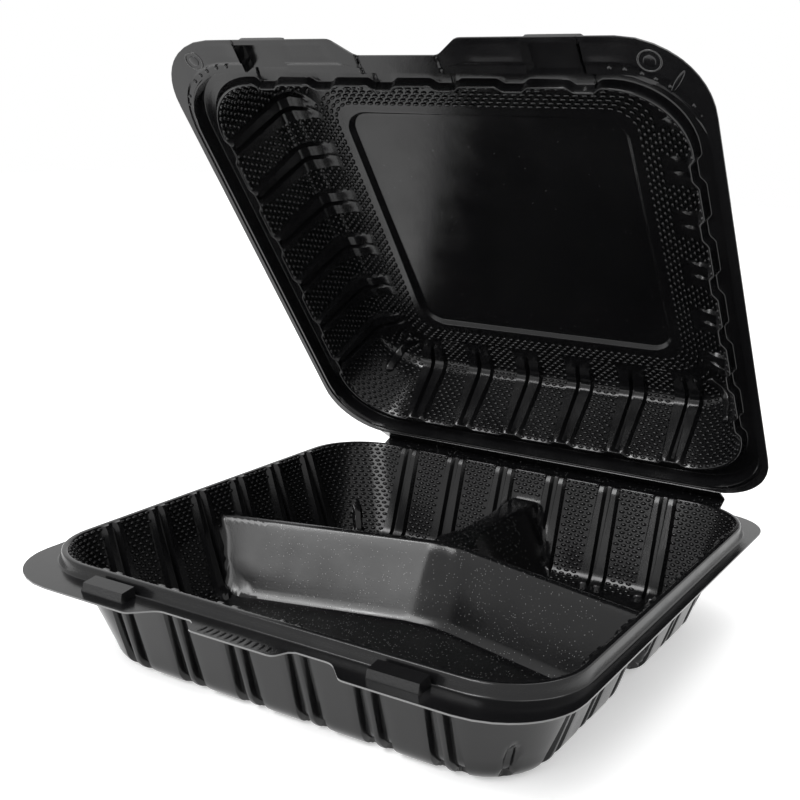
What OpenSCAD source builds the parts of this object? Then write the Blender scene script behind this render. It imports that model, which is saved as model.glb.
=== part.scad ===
/*
Hinged food container with three compartments, formed from one plastic sheet, shown with its lid part open.
The base is a ribbed tray with a rim bead and a flange. The lid is a ribbed bowl turned over, with a ledge
that goes over the bead. Both are thin sheets: each is the form under the sheet's upper face, less the same
form set back by the sheet's thickness. The origin is at the middle of the foot, +Y runs back to the hinge.
*/

/* [Sheet] */
// Thickness of the formed sheet
sheet_t = 0.6; // [0.5:0.05:0.8]
// Gap between the closed lid's flange and the base's flange
closing_gap = 0.3; // [0.2:0.05:0.5]

/* [Overall] */
// Width of both parts across the side flanges
overall_w = 225.4; // [215:0.2:236]

/* [Opening] */
// Width of the rim beside the base's opening, on the left and the right
side_rim = 7.6; // [6.8:0.1:9]
// Radius of the opening's corners, in plan
corner_r = 27; // [24:0.5:32]
// Slope of the walls, in degrees from the vertical
draft = 18.5; // [14:0.5:20]

/* [Base] */
// Height of the base's flange above the foot
base_h = 40.6; // [36:0.2:50]
// Rounding between the walls and the floor
base_fillet_r = 9; // [7:0.5:11]
// Height of the rim bead above the flange
bead_h = 4.6; // [3.6:0.1:5.4]
// Width of the bead across its top
bead_top_w = 2.1; // [1.8:0.1:2.6]
// Width that the bead's outer side gains on its way down to the flange
bead_spread = 1.3; // [1:0.1:2]

/* [Dividers] */
// Depth of the dividers' tops below the flange
divider_drop = 8.5; // [6:0.5:14]
// Width of the front divider's rounded top
front_top_w = 4; // [3:0.2:6]
// Width of the rear divider's top
rear_top_w = 8.5; // [8:0.5:14]
// Rounding of the rear divider's top edges
rear_top_r = 1.2; // [0.9:0.1:2]
// Distance from the middle to the front divider's apex, at its top
apex_y = 26; // [15:0.5:35]
// Slope of the front divider's two arms, in degrees from the width of the tray
arm_angle = 14.8; // [10:0.2:20]
// Slope of the dividers' sides, in degrees from the vertical
divider_draft = 22; // [16:0.5:26]

/* [Lid] */
// Height of the lid's roof above its flange
lid_h = 36.5; // [32:0.5:44]
// Rounding between the lid's walls and its roof
lid_fillet_r = 11.5; // [8:0.5:13]
// Height of the lid's inner ledge above its flange
ledge_h = 5; // [4.9:0.1:5.6]
// Set-back of the lid's walls inside the base's opening
lid_inset = 2.9; // [2:0.1:4]
// Room between the base's bead and the lid's ledge, all round
bead_clearance = 0.5; // [0.4:0.05:0.8]
// Width of the raised panel in the roof
panel_w = 127; // [110:1:134]
// Height of the raised panel above the rest of the roof
panel_rise = 2; // [1:0.1:3]
// Radius of the raised panel's corners
panel_r = 11; // [6:0.5:16]

/* [Ribs] */
// Number of rib pairs on each wall
rib_pairs = 6; // [4:1:6]
// Distance from the side of the opening to the middle of the outermost rib pair
rib_end = 38.35; // [36.5:0.05:42]
// Distance between the two ribs of a pair, at the rim
rib_spacing_top = 4.7; // [4.4:0.1:5.4]
// Distance between the two ribs of a pair, at the foot of the wall
rib_spacing_foot = 6.2; // [6:0.1:7]
// Width of a rib at the rim
rib_w_top = 4.3; // [3.8:0.1:4.4]
// Width of a rib at the foot of the wall
rib_w_foot = 5.7; // [5:0.1:5.8]
// How much narrower each side of a rib's crest is than its foot
rib_slope_w = 1; // [0.8:0.1:1.2]
// Height of a rib at the rim
rib_rise_top = 1.9; // [1.4:0.1:2.4]
// Height of a rib at the foot of a wall
rib_rise_foot = 2.8; // [2:0.1:3.2]
// Depth of the ribs' upper ends below the rim
rib_drop = 0.3; // [0.2:0.1:1]
// Radius of the short rib in each corner
corner_rib_r = 1.8; // [1.4:0.1:2.6]
// Length of the short rib in each corner, along the height
corner_rib_h = 12; // [8:0.5:14]

/* [Flanges] */
// Width of the rim behind the opening
back_rim = 6.4; // [5.9:0.1:10]
// Width of the base's front wings, from the opening to their front edge
base_wing_rim = 16.9; // [15:0.1:22]
// Width of the lid's front wings, from the opening to their front edge
lid_wing_rim = 18.4; // [16:0.1:24]
// Radius of the flanges' front corners
front_corner_r = 30; // [24:0.5:34]
// Radius of the base flange's back corners
base_back_r = 20; // [16:0.5:28]
// Radius of the lid flange's back corners
lid_back_r = 28; // [20:0.5:30]
// Half width of the gap between the base's wings
base_wing_x = 44; // [40:0.5:46]
// Half width of the gap between the lid's wings
lid_wing_x = 26; // [22:0.5:34]
// Width of the base's front rim between wing and tab
dip_rim = 8.7; // [8:0.1:11]
// Half width of the pull tab
tab_x = 17.5; // [12:0.5:24]
// Width of the front rim at the pull tab
tab_rim = 15.4; // [12:0.1:20]
// Half width of the lid's front notch
notch_x = 17; // [12:0.5:20]
// Width of the lid's front rim in the notch
notch_rim = 11.4; // [10.4:0.1:14]

/* [Latches] */
// Distance from the middle to the centre of each latch
latch_x = 60; // [56:0.5:66]
// Width of the base's latch lugs
lug_w = 19.5; // [14:0.5:22]
// Depth of the latch lugs, front to back
lug_d = 7.4; // [6:0.2:7.6]
// Height of the latch lugs above the flange
lug_h = 4; // [3:0.1:4.4]
// Distance from the opening to the lugs' back face
lug_rim = 4.8; // [4.7:0.1:5.7]
// Room round each lug inside the lid's latch pocket
latch_clearance = 0.8; // [0.6:0.05:1]

/* [Hinge] */
// Distance from each end of the living hinge to the flange's side edge
hinge_end = 23.7; // [22.7:0.1:38]
// Width of each half of the hinge strip, from the flange's back edge to the fold
hinge_strip = 8.7; // [6.5:0.1:12.5]
// Height by which the hinge strip rises from the flanges to the fold
hinge_rise = 3.5; // [0:0.1:4]
// Gap between each half of the hinge strip and the fold line
hinge_gap = 0.25; // [0.2:0.05:0.4]
// Angle by which the lid stands open
open_angle = 52; // [0:1:180]

/* [Hidden] */
sheet_colour = "#1c1c1e";

// How finely the corners and the roundings are drawn
corner_fn = 24;
fillet_fn = 16;
arc_steps = 6;

// Thickness of the thin slices that hulls are made from, and the overlaps that forms are joined or cut with
slice = 0.02;
join = 1;
sink = 0.3;

// Where the lid's flange rests over the base's, and the height of the fold between them
lid_seat_z = base_h + closing_gap;
hinge_z = base_h + hinge_rise + closing_gap / 2;

// How far a wall's face moves in for each millimetre down, and the sheet's thickness measured level
run = tan(draft);

// Plan sizes from the middle, which all follow the overall width
side_x = overall_w / 2;
opening_half = side_x - side_rim;
flange_back_y = opening_half + back_rim;
base_wing_y = opening_half + base_wing_rim;
lid_wing_y = opening_half + lid_wing_rim;
dip_y = opening_half + dip_rim;
tab_y = opening_half + tab_rim;
notch_y = opening_half + notch_rim;
lug_y = opening_half + lug_rim;
hinge_y = flange_back_y + hinge_strip;
hinge_w = overall_w - 2 * hinge_end;
rib_pitch = 2 * (opening_half - rib_end) / (rib_pairs - 1);
divider_reach = opening_half + join;
bead_top_half = opening_half + bead_top_w;
bead_foot_half = bead_top_half + bead_spread;
ledge_top_half = bead_top_half + bead_clearance;
ledge_foot_half = bead_foot_half + bead_clearance;
lid_opening_half = opening_half - lid_inset;

// Depths below each flange: the base's floor is above the foot by the sheet's thickness
floor_depth = base_h - sheet_t;
panel_slope = panel_rise;

// The points of an outline with its corners rounded: each point is [x, y, radius], and sharp without a radius
function unit(v) = v / norm(v);
function arc_between(before, at, after, r) =
    let (
        u = unit([before.x - at.x, before.y - at.y]),
        v = unit([after.x - at.x, after.y - at.y]),
        half_angle = acos(max(-1, min(1, u * v))) / 2,
        centre = [at.x, at.y] + unit(u + v) * r / sin(half_angle),
        start = [at.x, at.y] + u * r / tan(half_angle) - centre,
        turn = (180 - 2 * half_angle) * sign(u.y * v.x - u.x * v.y)
    )
    [for (i = [0 : arc_steps])
        let (a = turn * i / arc_steps)
        centre + [start.x * cos(a) - start.y * sin(a), start.x * sin(a) + start.y * cos(a)]];
function rounded(points) =
    [for (i = [0 : len(points) - 1])
        let (
            at = points[i],
            before = points[(i + len(points) - 1) % len(points)],
            after = points[(i + 1) % len(points)]
        )
        for (p = len(at) < 3 ? [at] : arc_between(before, at, after, at[2])) p];

// A whole outline from its right-hand half, which runs from the front to the back
function both_halves(right) =
    concat(right, [for (i = [len(right) - 1 : -1 : 0])
        let (p = right[i])
        len(p) < 3 ? [-p.x, p.y] : [-p.x, p.y, p[2]]]);

BASE_HALF = [
    [tab_x, -tab_y, 3],
    [tab_x + 3, -dip_y, 3],
    [base_wing_x - 8, -dip_y, 6],
    [base_wing_x, -base_wing_y, 4],
    [side_x, -base_wing_y, front_corner_r],
    [side_x, flange_back_y, base_back_r]
];
LID_HALF = [
    [notch_x, -notch_y, 5],
    [lid_wing_x, -lid_wing_y, 5],
    [side_x, -lid_wing_y, front_corner_r],
    [side_x, flange_back_y, lid_back_r]
];

// Copies of a form at the four sides of the part, and at the four corners
module four_sides() {
    for (turn = [0 : 90 : 270]) rotate(turn) children();
}

// A level slice of a rounded square
module square_slice(half, r, z) {
    for (x = [-1, 1], y = [-1, 1])
        translate([x * (half - r), y * (half - r), z]) cylinder(r = r, h = slice, $fn = corner_fn);
}

// A form with four sloped walls and rounded corners, between two level slices
module walled(top_half, top_r, top_z, foot_half, foot_r, foot_z) {
    hull() {
        square_slice(top_half, top_r, top_z - slice);
        square_slice(foot_half, foot_r, foot_z);
    }
}

// The hollow of a bowl: walls that slope in to a flat floor, with a rounding between them. It is half wide
// from the middle at height z, and back sets its faces back by the sheet's thickness
module hollow(half, z, floor_z, fillet, back) {
    wide = half + back / cos(draft);
    r = corner_r + back;
    round_r = fillet + back;
    foot_z = floor_z - back;
    tube = wide - (z - foot_z) * run + round_r * (run - 1 / cos(draft));
    hull() {
        square_slice(wide + join * run, r, z + join - slice);
        for (x = [-1, 1], y = [-1, 1])
            translate([x * (tube - r + round_r), y * (tube - r + round_r), foot_z + round_r])
                rotate_extrude($fn = corner_fn)
                    intersection() {
                        translate([r - round_r, 0]) circle(r = round_r, $fn = fillet_fn);
                        translate([0, -round_r]) square([r + join, round_r * 2]);
                    }
    }
}

// A level cross-section of one rib, on a wall at y = face whose hollow lies on the -Y side
module rib_slice(face, z, x, w, rise, back) {
    foot = w / 2 - back;
    crest = foot - rib_slope_w + back / 3;
    tip = face - rise + back;
    translate([x, 0, z])
        linear_extrude(slice)
            polygon([
                [-foot, face + join],
                [foot, face + join],
                [foot, face + back],
                [crest, tip],
                [-crest, tip],
                [-foot, face + back]
            ]);
}

// One rib of a pair: down the wall, round the rounding and out on the floor. Its side of the pair is -1 or 1
module rib(half, z, floor_z, fillet, side, back) {
    function face(level) = half - (z - level) * run;
    bend_z = floor_z + fillet;
    low_z = floor_z - back - sink - slice;
    top_x = side * rib_spacing_top / 2;
    foot_x = side * rib_spacing_foot / 2;
    foot_w = rib_w_foot - 2 * back;
    crest_w = foot_w - 2 * rib_slope_w;
    hull() {
        rib_slice(face(z), z - rib_drop - back, top_x, rib_w_top, rib_rise_top, back);
        rib_slice(face(bend_z), bend_z, foot_x, rib_w_foot, rib_rise_foot, back);
    }
    hull() {
        rib_slice(face(bend_z), bend_z, foot_x, rib_w_foot, rib_rise_foot, back);
        translate([foot_x - crest_w / 2, face(floor_z) - fillet + back, low_z])
            cube([crest_w, slice, slice]);
        translate([foot_x - foot_w / 2, face(floor_z) + back, low_z])
            cube([foot_w, slice, slice]);
    }
}

// Every rib of a bowl: the pairs on the four walls, and a short one in each corner
module ribs(half, z, floor_z, fillet, back) {
    for (i = [0 : rib_pairs - 1], side = [-1, 1])
        four_sides()
            translate([(i - (rib_pairs - 1) / 2) * rib_pitch, 0, 0])
                rib(half, z, floor_z, fillet, side, back);
    function corner(level) = half - (z - level) * run - corner_r * (1 - sqrt(0.5));
    low = floor_z + fillet * 0.6;
    four_sides()
        hull() {
            for (level = [low, low + corner_rib_h])
                translate([corner(level), corner(level), level])
                    rotate(45)
                        sphere(r = corner_rib_r + 1 - (level - low) / corner_rib_h - back, $fn = 8);
        }
}

// One arm of a divider: a ridge with rounded top edges and sloped sides, from one plan point to another
module divider_arm(from, to, top_w, r, top_z, foot_z, back) {
    side = top_w / 2 - r;
    along = unit(to - from);
    across = [-along.y, along.x];
    low_z = foot_z - back - sink;
    drop = top_z - r - low_z;
    spread = side + (r - back) / cos(divider_draft) + drop * tan(divider_draft);
    hull() {
        for (p = [from, to], s = [-side, side])
            translate([p.x + across.x * s, p.y + across.y * s, top_z - r])
                rotate(atan2(along.y, along.x))
                    sphere(r = r - back, $fn = 12);
        for (p = [from, to], s = [-spread, spread])
            translate([p.x + across.x * s, p.y + across.y * s, low_z - slice])
                cylinder(r = slice, h = slice, $fn = 4);
    }
}

// The front divider's two arms, and the rear divider
module dividers(top_z, foot_z, back) {
    apex = [0, apex_y];
    for (s = [-1, 1])
        divider_arm(apex, [s * divider_reach, apex_y - divider_reach * tan(arm_angle)],
            front_top_w, front_top_w / 2, top_z, foot_z, back);
    divider_arm(apex, [0, divider_reach], rear_top_w, rear_top_r, top_z, foot_z, back);
}

// Raised blocks with sloped sides on the front flange at both latches, from one y to another
module latch_blocks(w, front_y, rear_y, h, back) {
    slope = h / 4;
    for (s = [-1, 1])
        translate([s * latch_x, 0, 0])
            hull() {
                translate([-w / 2 + back, front_y + back, -join])
                    cube([w - 2 * back, rear_y - front_y - 2 * back, slice]);
                translate([-w / 2 + slope / 2 + back, front_y + slope + back, h - back - slice])
                    cube([w - slope - 2 * back, rear_y - front_y - slope - 2 * back, slice]);
            }
}

// A flange from its upper face down, with its half of the hinge strip, which rises to the fold
module plate(half_outline, rise, down) {
    translate([0, 0, -down])
        linear_extrude(down)
            polygon(rounded(both_halves(half_outline)));
    strip_y = hinge_y - hinge_gap;
    rotate([90, 0, -90])
        linear_extrude(hinge_w, center = true)
            polygon([
                [-strip_y, -down],
                [-strip_y, rise],
                [-flange_back_y, 0],
                [-flange_back_y + join, 0],
                [-flange_back_y + join, -down]
            ]);
}

// All that lies under the base sheet's upper face, with the flange's face at z = 0, set back by the thickness
module under_base(back) {
    difference() {
        union() {
            translate([0, 0, -back]) plate(BASE_HALF, hinge_rise, base_h);
            walled(bead_top_half - back, corner_r + bead_top_w - back, bead_h - back,
                bead_foot_half - back, corner_r + bead_top_w + bead_spread - back, -join);
            latch_blocks(lug_w, -lug_y - lug_d, -lug_y, lug_h, back);
        }
        hollow(opening_half, bead_h, -floor_depth, base_fillet_r, back);
    }
    ribs(opening_half, bead_h, -floor_depth, base_fillet_r, back);
    dividers(-divider_drop, -floor_depth, back);
}

// All that lies over the lid sheet's inner face, with the lid turned over so that it opens upward
module under_lid(back) {
    pocket_back = latch_clearance + back;
    difference() {
        translate([0, 0, -back]) plate(LID_HALF, -hinge_rise, lid_h + panel_rise + sheet_t);
        walled(ledge_foot_half + back, corner_r + bead_top_w + bead_spread + bead_clearance + back, join,
            ledge_top_half + back, corner_r + bead_top_w + bead_clearance + back, -ledge_h - back);
        hollow(lid_opening_half, -ledge_h, -lid_h, lid_fillet_r, back);
        walled(panel_w / 2 + back, panel_r + back, -lid_h + join - back,
            panel_w / 2 - panel_slope + back, panel_r - panel_slope + back, -lid_h - panel_rise - back);
        mirror([0, 0, 1])
            latch_blocks(lug_w + 2 * pocket_back, -lug_y - lug_d - pocket_back, -bead_top_half,
                lug_h + pocket_back, 0);
    }
    ribs(lid_opening_half, -ledge_h, -lid_h, lid_fillet_r, back);
}

// A sheet that has the form's upper face on one side and the set-back form's on the other
module sheet() {
    difference() {
        children(0);
        children(1);
    }
}

module base_tray() {
    color(sheet_colour)
        translate([0, 0, base_h])
            sheet() {
                under_base(0);
                under_base(sheet_t);
            }
}

module lid() {
    color(sheet_colour)
        translate([0, hinge_y, hinge_z])
            rotate([-open_angle, 0, 0])
                translate([0, -hinge_y, lid_seat_z - hinge_z])
                    mirror([0, 0, 1])
                        sheet() {
                            under_lid(0);
                            under_lid(sheet_t);
                        }
}

base_tray();
lid();
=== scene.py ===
"""Hinged three-compartment food container in black formed plastic, dressed for looks.

The sheets are modelled in millimetres in the rim's frame: z = 0 is the upper face of the base's flange, and
the lid is built turned over, with its bowl opening upward, and then turned into place over the hinge.
"""
from __future__ import annotations

import logging
import math
from dataclasses import dataclass
from enum import Enum
from typing import Callable, Sequence

import bpy
import numpy as np
from mathutils import Matrix, Vector
from mathutils.geometry import delaunay_2d_cdt

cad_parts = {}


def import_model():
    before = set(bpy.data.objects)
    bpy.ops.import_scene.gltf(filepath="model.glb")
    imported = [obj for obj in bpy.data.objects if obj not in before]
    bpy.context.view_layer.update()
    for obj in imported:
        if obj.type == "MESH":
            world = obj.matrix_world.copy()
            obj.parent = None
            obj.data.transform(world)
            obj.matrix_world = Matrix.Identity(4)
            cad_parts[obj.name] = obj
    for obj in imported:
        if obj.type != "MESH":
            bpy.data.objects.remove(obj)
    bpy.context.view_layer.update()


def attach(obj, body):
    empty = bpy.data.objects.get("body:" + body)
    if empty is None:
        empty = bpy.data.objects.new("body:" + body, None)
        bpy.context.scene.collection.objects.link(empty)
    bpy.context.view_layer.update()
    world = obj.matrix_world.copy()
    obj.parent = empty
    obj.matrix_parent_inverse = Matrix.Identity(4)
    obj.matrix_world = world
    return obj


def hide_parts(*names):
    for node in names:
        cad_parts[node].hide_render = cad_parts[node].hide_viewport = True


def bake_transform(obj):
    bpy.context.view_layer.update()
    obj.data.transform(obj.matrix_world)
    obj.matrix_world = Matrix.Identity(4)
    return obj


LOG = logging.getLogger("food_container")

MM = 0.001
# Heights over the foot of the upper face of the base's flange, and of the closed lid's flange.
BASE_HEIGHT = 40.6
LID_SEAT = 40.9
# The line of the fold, and how far the lid stands open at rest.
FOLD_Y = 120.2
FOLD_Z = 44.25
OPEN_ANGLE = math.radians(52.0)
SHEET = 0.6
RIB_PITCH = 26.7
# Half the length of each side's own columns; the rest of the way round belongs to the corners.
SIDE_END = 77.0
# Pattern coordinates: the flange's edge lies at minus the first, and the second is added on the bottom.
BORDER_PATTERN = 12.0
BOTTOM_PATTERN = 200.0
# The angle in degrees past which an edge of the formed sheets is sharp.
CREASE = 38.0
# Stands for a distance where no rib, or no corner, is near.
FAR = 999.0

Array = np.ndarray


class Side(Enum):
    """The four walls, counted round from the front: the value is the number of quarter turns."""

    FRONT = 0
    RIGHT = 1
    BACK = 2
    LEFT = 3


def smoothstep(low: float, high: float, value: Array) -> Array:
    """Blend from 0 at low to 1 at high with a smooth start and end."""
    t = np.clip((np.asarray(value, float) - low) / (high - low), 0.0, 1.0)
    return t * t * (3.0 - 2.0 * t)


def smooth_max(a: Array, b: Array, width: float) -> Array:
    """Take the larger of two heights, with a rounding where they meet.

    Args:
        a: The first heights.
        b: The second heights.
        width: The range of difference over which they blend.

    Returns:
        The blended heights.
    """
    h = np.clip(0.5 + 0.5 * (a - b) / width, 0.0, 1.0)
    return b + (a - b) * h + width * h * (1.0 - h)


def smooth_min(a: Array, b: Array, width: Array) -> Array:
    """Take the smaller of two distances, with a rounding where they meet; width is the range of the blend."""
    h = np.clip(0.5 + 0.5 * (b - a) / width, 0.0, 1.0)
    return b + (a - b) * h - width * h * (1.0 - h)


def turned(x: Array, y: Array, nx: Array, ny: Array, side: Array) -> tuple[Array, Array]:
    """Turn places on one side, given as along and outward distances, to the side that they belong to.

    Args:
        x: The distances along the side.
        y: The distances outward.
        nx: The part along the side of each outward direction.
        ny: The outward part of each direction.
        side: The number of quarter turns.

    Returns:
        The plan points and the outward directions.
    """
    c, s = np.cos(side * (math.pi / 2)), np.sin(side * (math.pi / 2))
    return np.stack([x * c + y * s, x * s - y * c], -1), np.stack([nx * c + ny * s, nx * s - ny * c], -1)


def rounded_path(points: Sequence[tuple[float, float]], radii: Sequence[float],
                 steps: int) -> list[tuple[float, float]]:
    """Round the inner corners of an open path.

    Args:
        points: The path's corner points.
        radii: One radius for each point, of which the first and last aren't used.
        steps: The number of pieces in each rounding.

    Returns:
        The points of the rounded path.
    """
    path = [points[0]]
    for before, at, after, r in zip(points, points[1:], points[2:], radii[1:]):
        a, b, c = np.array(before), np.array(at), np.array(after)
        u = (a - b) / np.linalg.norm(a - b)
        v = (c - b) / np.linalg.norm(c - b)
        half = math.acos(float(np.clip(u @ v, -1, 1))) / 2
        if r <= 0 or half > 1.55:
            path.append(tuple(b))
            continue
        centre = b + (u + v) / np.linalg.norm(u + v) * r / math.sin(half)
        start = b + u * r / math.tan(half) - centre
        turn = (math.pi - 2 * half) * (1 if u[1] * v[0] - u[0] * v[1] > 0 else -1)
        for i in range(steps + 1):
            t = turn * i / steps
            path.append((centre[0] + start[0] * math.cos(t) - start[1] * math.sin(t),
                         centre[1] + start[0] * math.sin(t) + start[1] * math.cos(t)))
    path.append(points[-1])
    return path


def subdivided(path: Sequence[tuple[float, float]], longest: float) -> Array:
    """Split the pieces of a path that are longer than a given length into equal parts.

    Args:
        path: The path's points.
        longest: The length past which a piece is split.

    Returns:
        The points of the finer path.
    """
    out = [path[0]]
    for a, b in zip(path, path[1:]):
        n = max(1, math.ceil(math.dist(a, b) / longest))
        out += [(a[0] + (b[0] - a[0]) * i / n, a[1] + (b[1] - a[1]) * i / n) for i in range(1, n + 1)]
    return np.array(out)


@dataclass(frozen=True)
class Columns:
    """The columns of points that run across the rim and down the walls, all the way round.

    A column at a rib pair keeps its place on the ribs' section, so that it moves with the ribs as they widen.

    Attributes:
        side: The number of quarter turns of each column's side.
        corner: Whether the column lies in the corner after its side.
        value: The distance from the side's middle, or the share of the way round the corner.
        section: What is added to the distance: shares of half the ribs' spacing, of half their width and of
            their edge, and a length.
    """

    side: Array
    corner: Array
    value: Array
    section: Array

    @staticmethod
    def build(front_extra: Sequence[float], middle_step: float) -> "Columns":
        """Lay out the columns: close together at the rib pairs and dividers, further apart between them.

        Args:
            front_extra: Distances from the middle that the front side needs as well.
            middle_step: The distance between the columns in the middle of the other sides.

        Returns:
            The columns.
        """
        half_section = [(1, -1, 0, 0), (1, -1, 0.5, 0), (1, -1, 1, 0), (1, 0, 0, 0), (1, 1, -1, 0),
                        (1, 1, -0.5, 0), (1, 1, 0, 0), (1, 1, 0, 1.2)]
        typical = (3.0, 2.6, 0.9)
        mirrored = [tuple(-v for v in part) for part in reversed(half_section)]
        section_rows = mirrored + [(0, 0, 0, 0)] + half_section
        share = [0.014, 0.028, 0.041, 0.053, 0.065, 0.078, 0.1, 0.13, 0.175, 0.24, 0.32, 0.41]
        shares = sorted([0.5 - s for s in share] + [0.5] + [0.5 + s for s in share])
        rows: list[tuple[float, bool, float, tuple[float, ...]]] = []
        none = (0.0, 0.0, 0.0, 0.0)
        for quarter in Side:
            plain = {round(c + g, 3) for c in (-53.4, -26.7, 26.7, 53.4) for g in (-4.2, 0.0, 4.2)}
            plain |= {-SIDE_END, SIDE_END}
            steps = round(9.0 / (middle_step if quarter is not Side.FRONT else 1.5))
            plain |= {round(-4.5 + 9.0 * i / steps, 3) for i in range(steps + 1)}
            found = [(v, none, v) for v in plain]
            for k in range(-3, 3):
                centre = (k + 0.5) * RIB_PITCH
                found += [(centre, part,
                           centre + part[0] * typical[0] + part[1] * typical[1] + part[2] * typical[2] + part[3])
                          for part in section_rows]
            if quarter is Side.FRONT:
                for v in list(front_extra) + [-x for x in front_extra]:
                    if min(abs(v - f[2]) for f in found) > 0.45:
                        found.append((v, none, v))
            for value, part, _ in sorted(found, key=lambda f: f[2]):
                rows.append((quarter.value, False, value, part))
            rows += [(quarter.value, True, v, none) for v in shares]
        return Columns(np.array([r[0] for r in rows]), np.array([r[1] for r in rows]),
                       np.array([r[2] for r in rows], float), np.array([r[3] for r in rows], float))

    def ring(self, half: float, centre: float, section: tuple[float, float, float]) -> tuple[Array, Array, Array]:
        """Place the columns on a square with round corners.

        Args:
            half: Half the width of the square.
            centre: The distance of the corners' centres from the middle.
            section: The spacing, width and edge of the ribs at this level.

        Returns:
            The points, the outward directions and the distance along each side.
        """
        r = half - centre
        end = min(SIDE_END, centre + 0.5 * r)
        kept = 58.0
        inner = min(kept, end - 12.0)
        raw = self.value + self.section @ np.array([section[0] / 2, section[1] / 2, section[2], 1.0])
        w = np.sign(raw) * np.interp(np.abs(raw), [0, kept, SIDE_END], [0, inner, end])
        over = np.clip((np.abs(w) - centre) / max(r, 1e-6), 0.0, 1.0)
        tilt = np.arcsin(over) * np.sign(w)
        flat_y = centre + r * np.cos(tilt)
        straight = max(0.0, centre - end)
        theta = math.asin(max(0.0, (end - centre) / max(r, 1e-6)))
        arc = r * (math.pi / 2 - 2 * theta)
        run = self.value * (2 * straight + arc)
        angle = theta + np.clip(run - straight, 0, arc) / max(r, 1e-6)
        before = np.minimum(run, straight)
        after = np.clip(run - straight - arc, 0, straight)
        corner_x = centre + r * np.sin(angle) - np.where(run < straight, straight - before, 0.0)
        corner_y = centre + r * np.cos(angle) - after
        local_x = np.where(self.corner, corner_x, w)
        local_y = np.where(self.corner, corner_y, flat_y)
        heading = np.where(self.corner, angle, tilt)
        points, normals = turned(local_x, local_y, np.sin(heading), np.cos(heading), self.side)
        along = np.where(self.corner, FAR, raw)
        return points, normals, along

    def corner_distance(self, half: float, centre: float, section: tuple[float, float, float]) -> Array:
        """Give each column's distance round the corner's arc from the corner's diagonal, in millimetres.

        Args:
            half: Half the width of the square.
            centre: The distance of the corners' centres from the middle.
            section: The spacing, width and edge of the ribs at this level.

        Returns:
            The distances, negative before the diagonal.
        """
        _, normals, _ = self.ring(half, centre, section)
        turn = self.side * (math.pi / 2)
        nx = normals[:, 0] * np.cos(turn) + normals[:, 1] * np.sin(turn)
        ny = normals[:, 0] * np.sin(turn) - normals[:, 1] * np.cos(turn)
        return (np.arctan2(nx, ny) - math.pi / 4) * (half - centre)


def outline(half_points: Sequence[tuple[float, float, float]]) -> Array:
    """Close a rounded outline from its right-hand half, which runs from the front to the back.

    Args:
        half_points: The corner points of the right-hand half, each with its radius.

    Returns:
        The points of the closed outline.
    """
    whole = list(half_points) + [(-x, y, r) for x, y, r in reversed(half_points)]
    n = len(whole)
    closed: list[tuple[float, float]] = []
    for i in range(n):
        trio = [whole[i - 1], whole[i], whole[(i + 1) % n]]
        corner = rounded_path([(p[0], p[1]) for p in trio], [0, trio[1][2], 0], 12)
        closed += corner[1:-1]
    return np.array(closed)


def ray_to_outline(points: Array, directions: Array, closed: Array) -> Array:
    """Follow rays from inside a closed outline until they reach it.

    Args:
        points: The starts of the rays.
        directions: Their unit directions.
        closed: The outline's points.

    Returns:
        The points reached.
    """
    a = closed
    b = np.roll(closed, -1, axis=0)
    e = b - a
    best = np.full(len(points), np.inf)
    for k in range(len(a)):
        det = directions[:, 0] * -e[k, 1] + directions[:, 1] * e[k, 0]
        ok = np.abs(det) > 1e-9
        det = np.where(ok, det, 1.0)
        d = a[k] - points
        t = (d[:, 0] * -e[k, 1] + d[:, 1] * e[k, 0]) / det
        s = (directions[:, 0] * d[:, 1] - directions[:, 1] * d[:, 0]) / det
        hit = ok & (s >= -1e-6) & (s <= 1 + 1e-6) & (t > 0)
        best = np.where(hit & (t < best), t, best)
    return points + directions * best[:, None]


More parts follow.
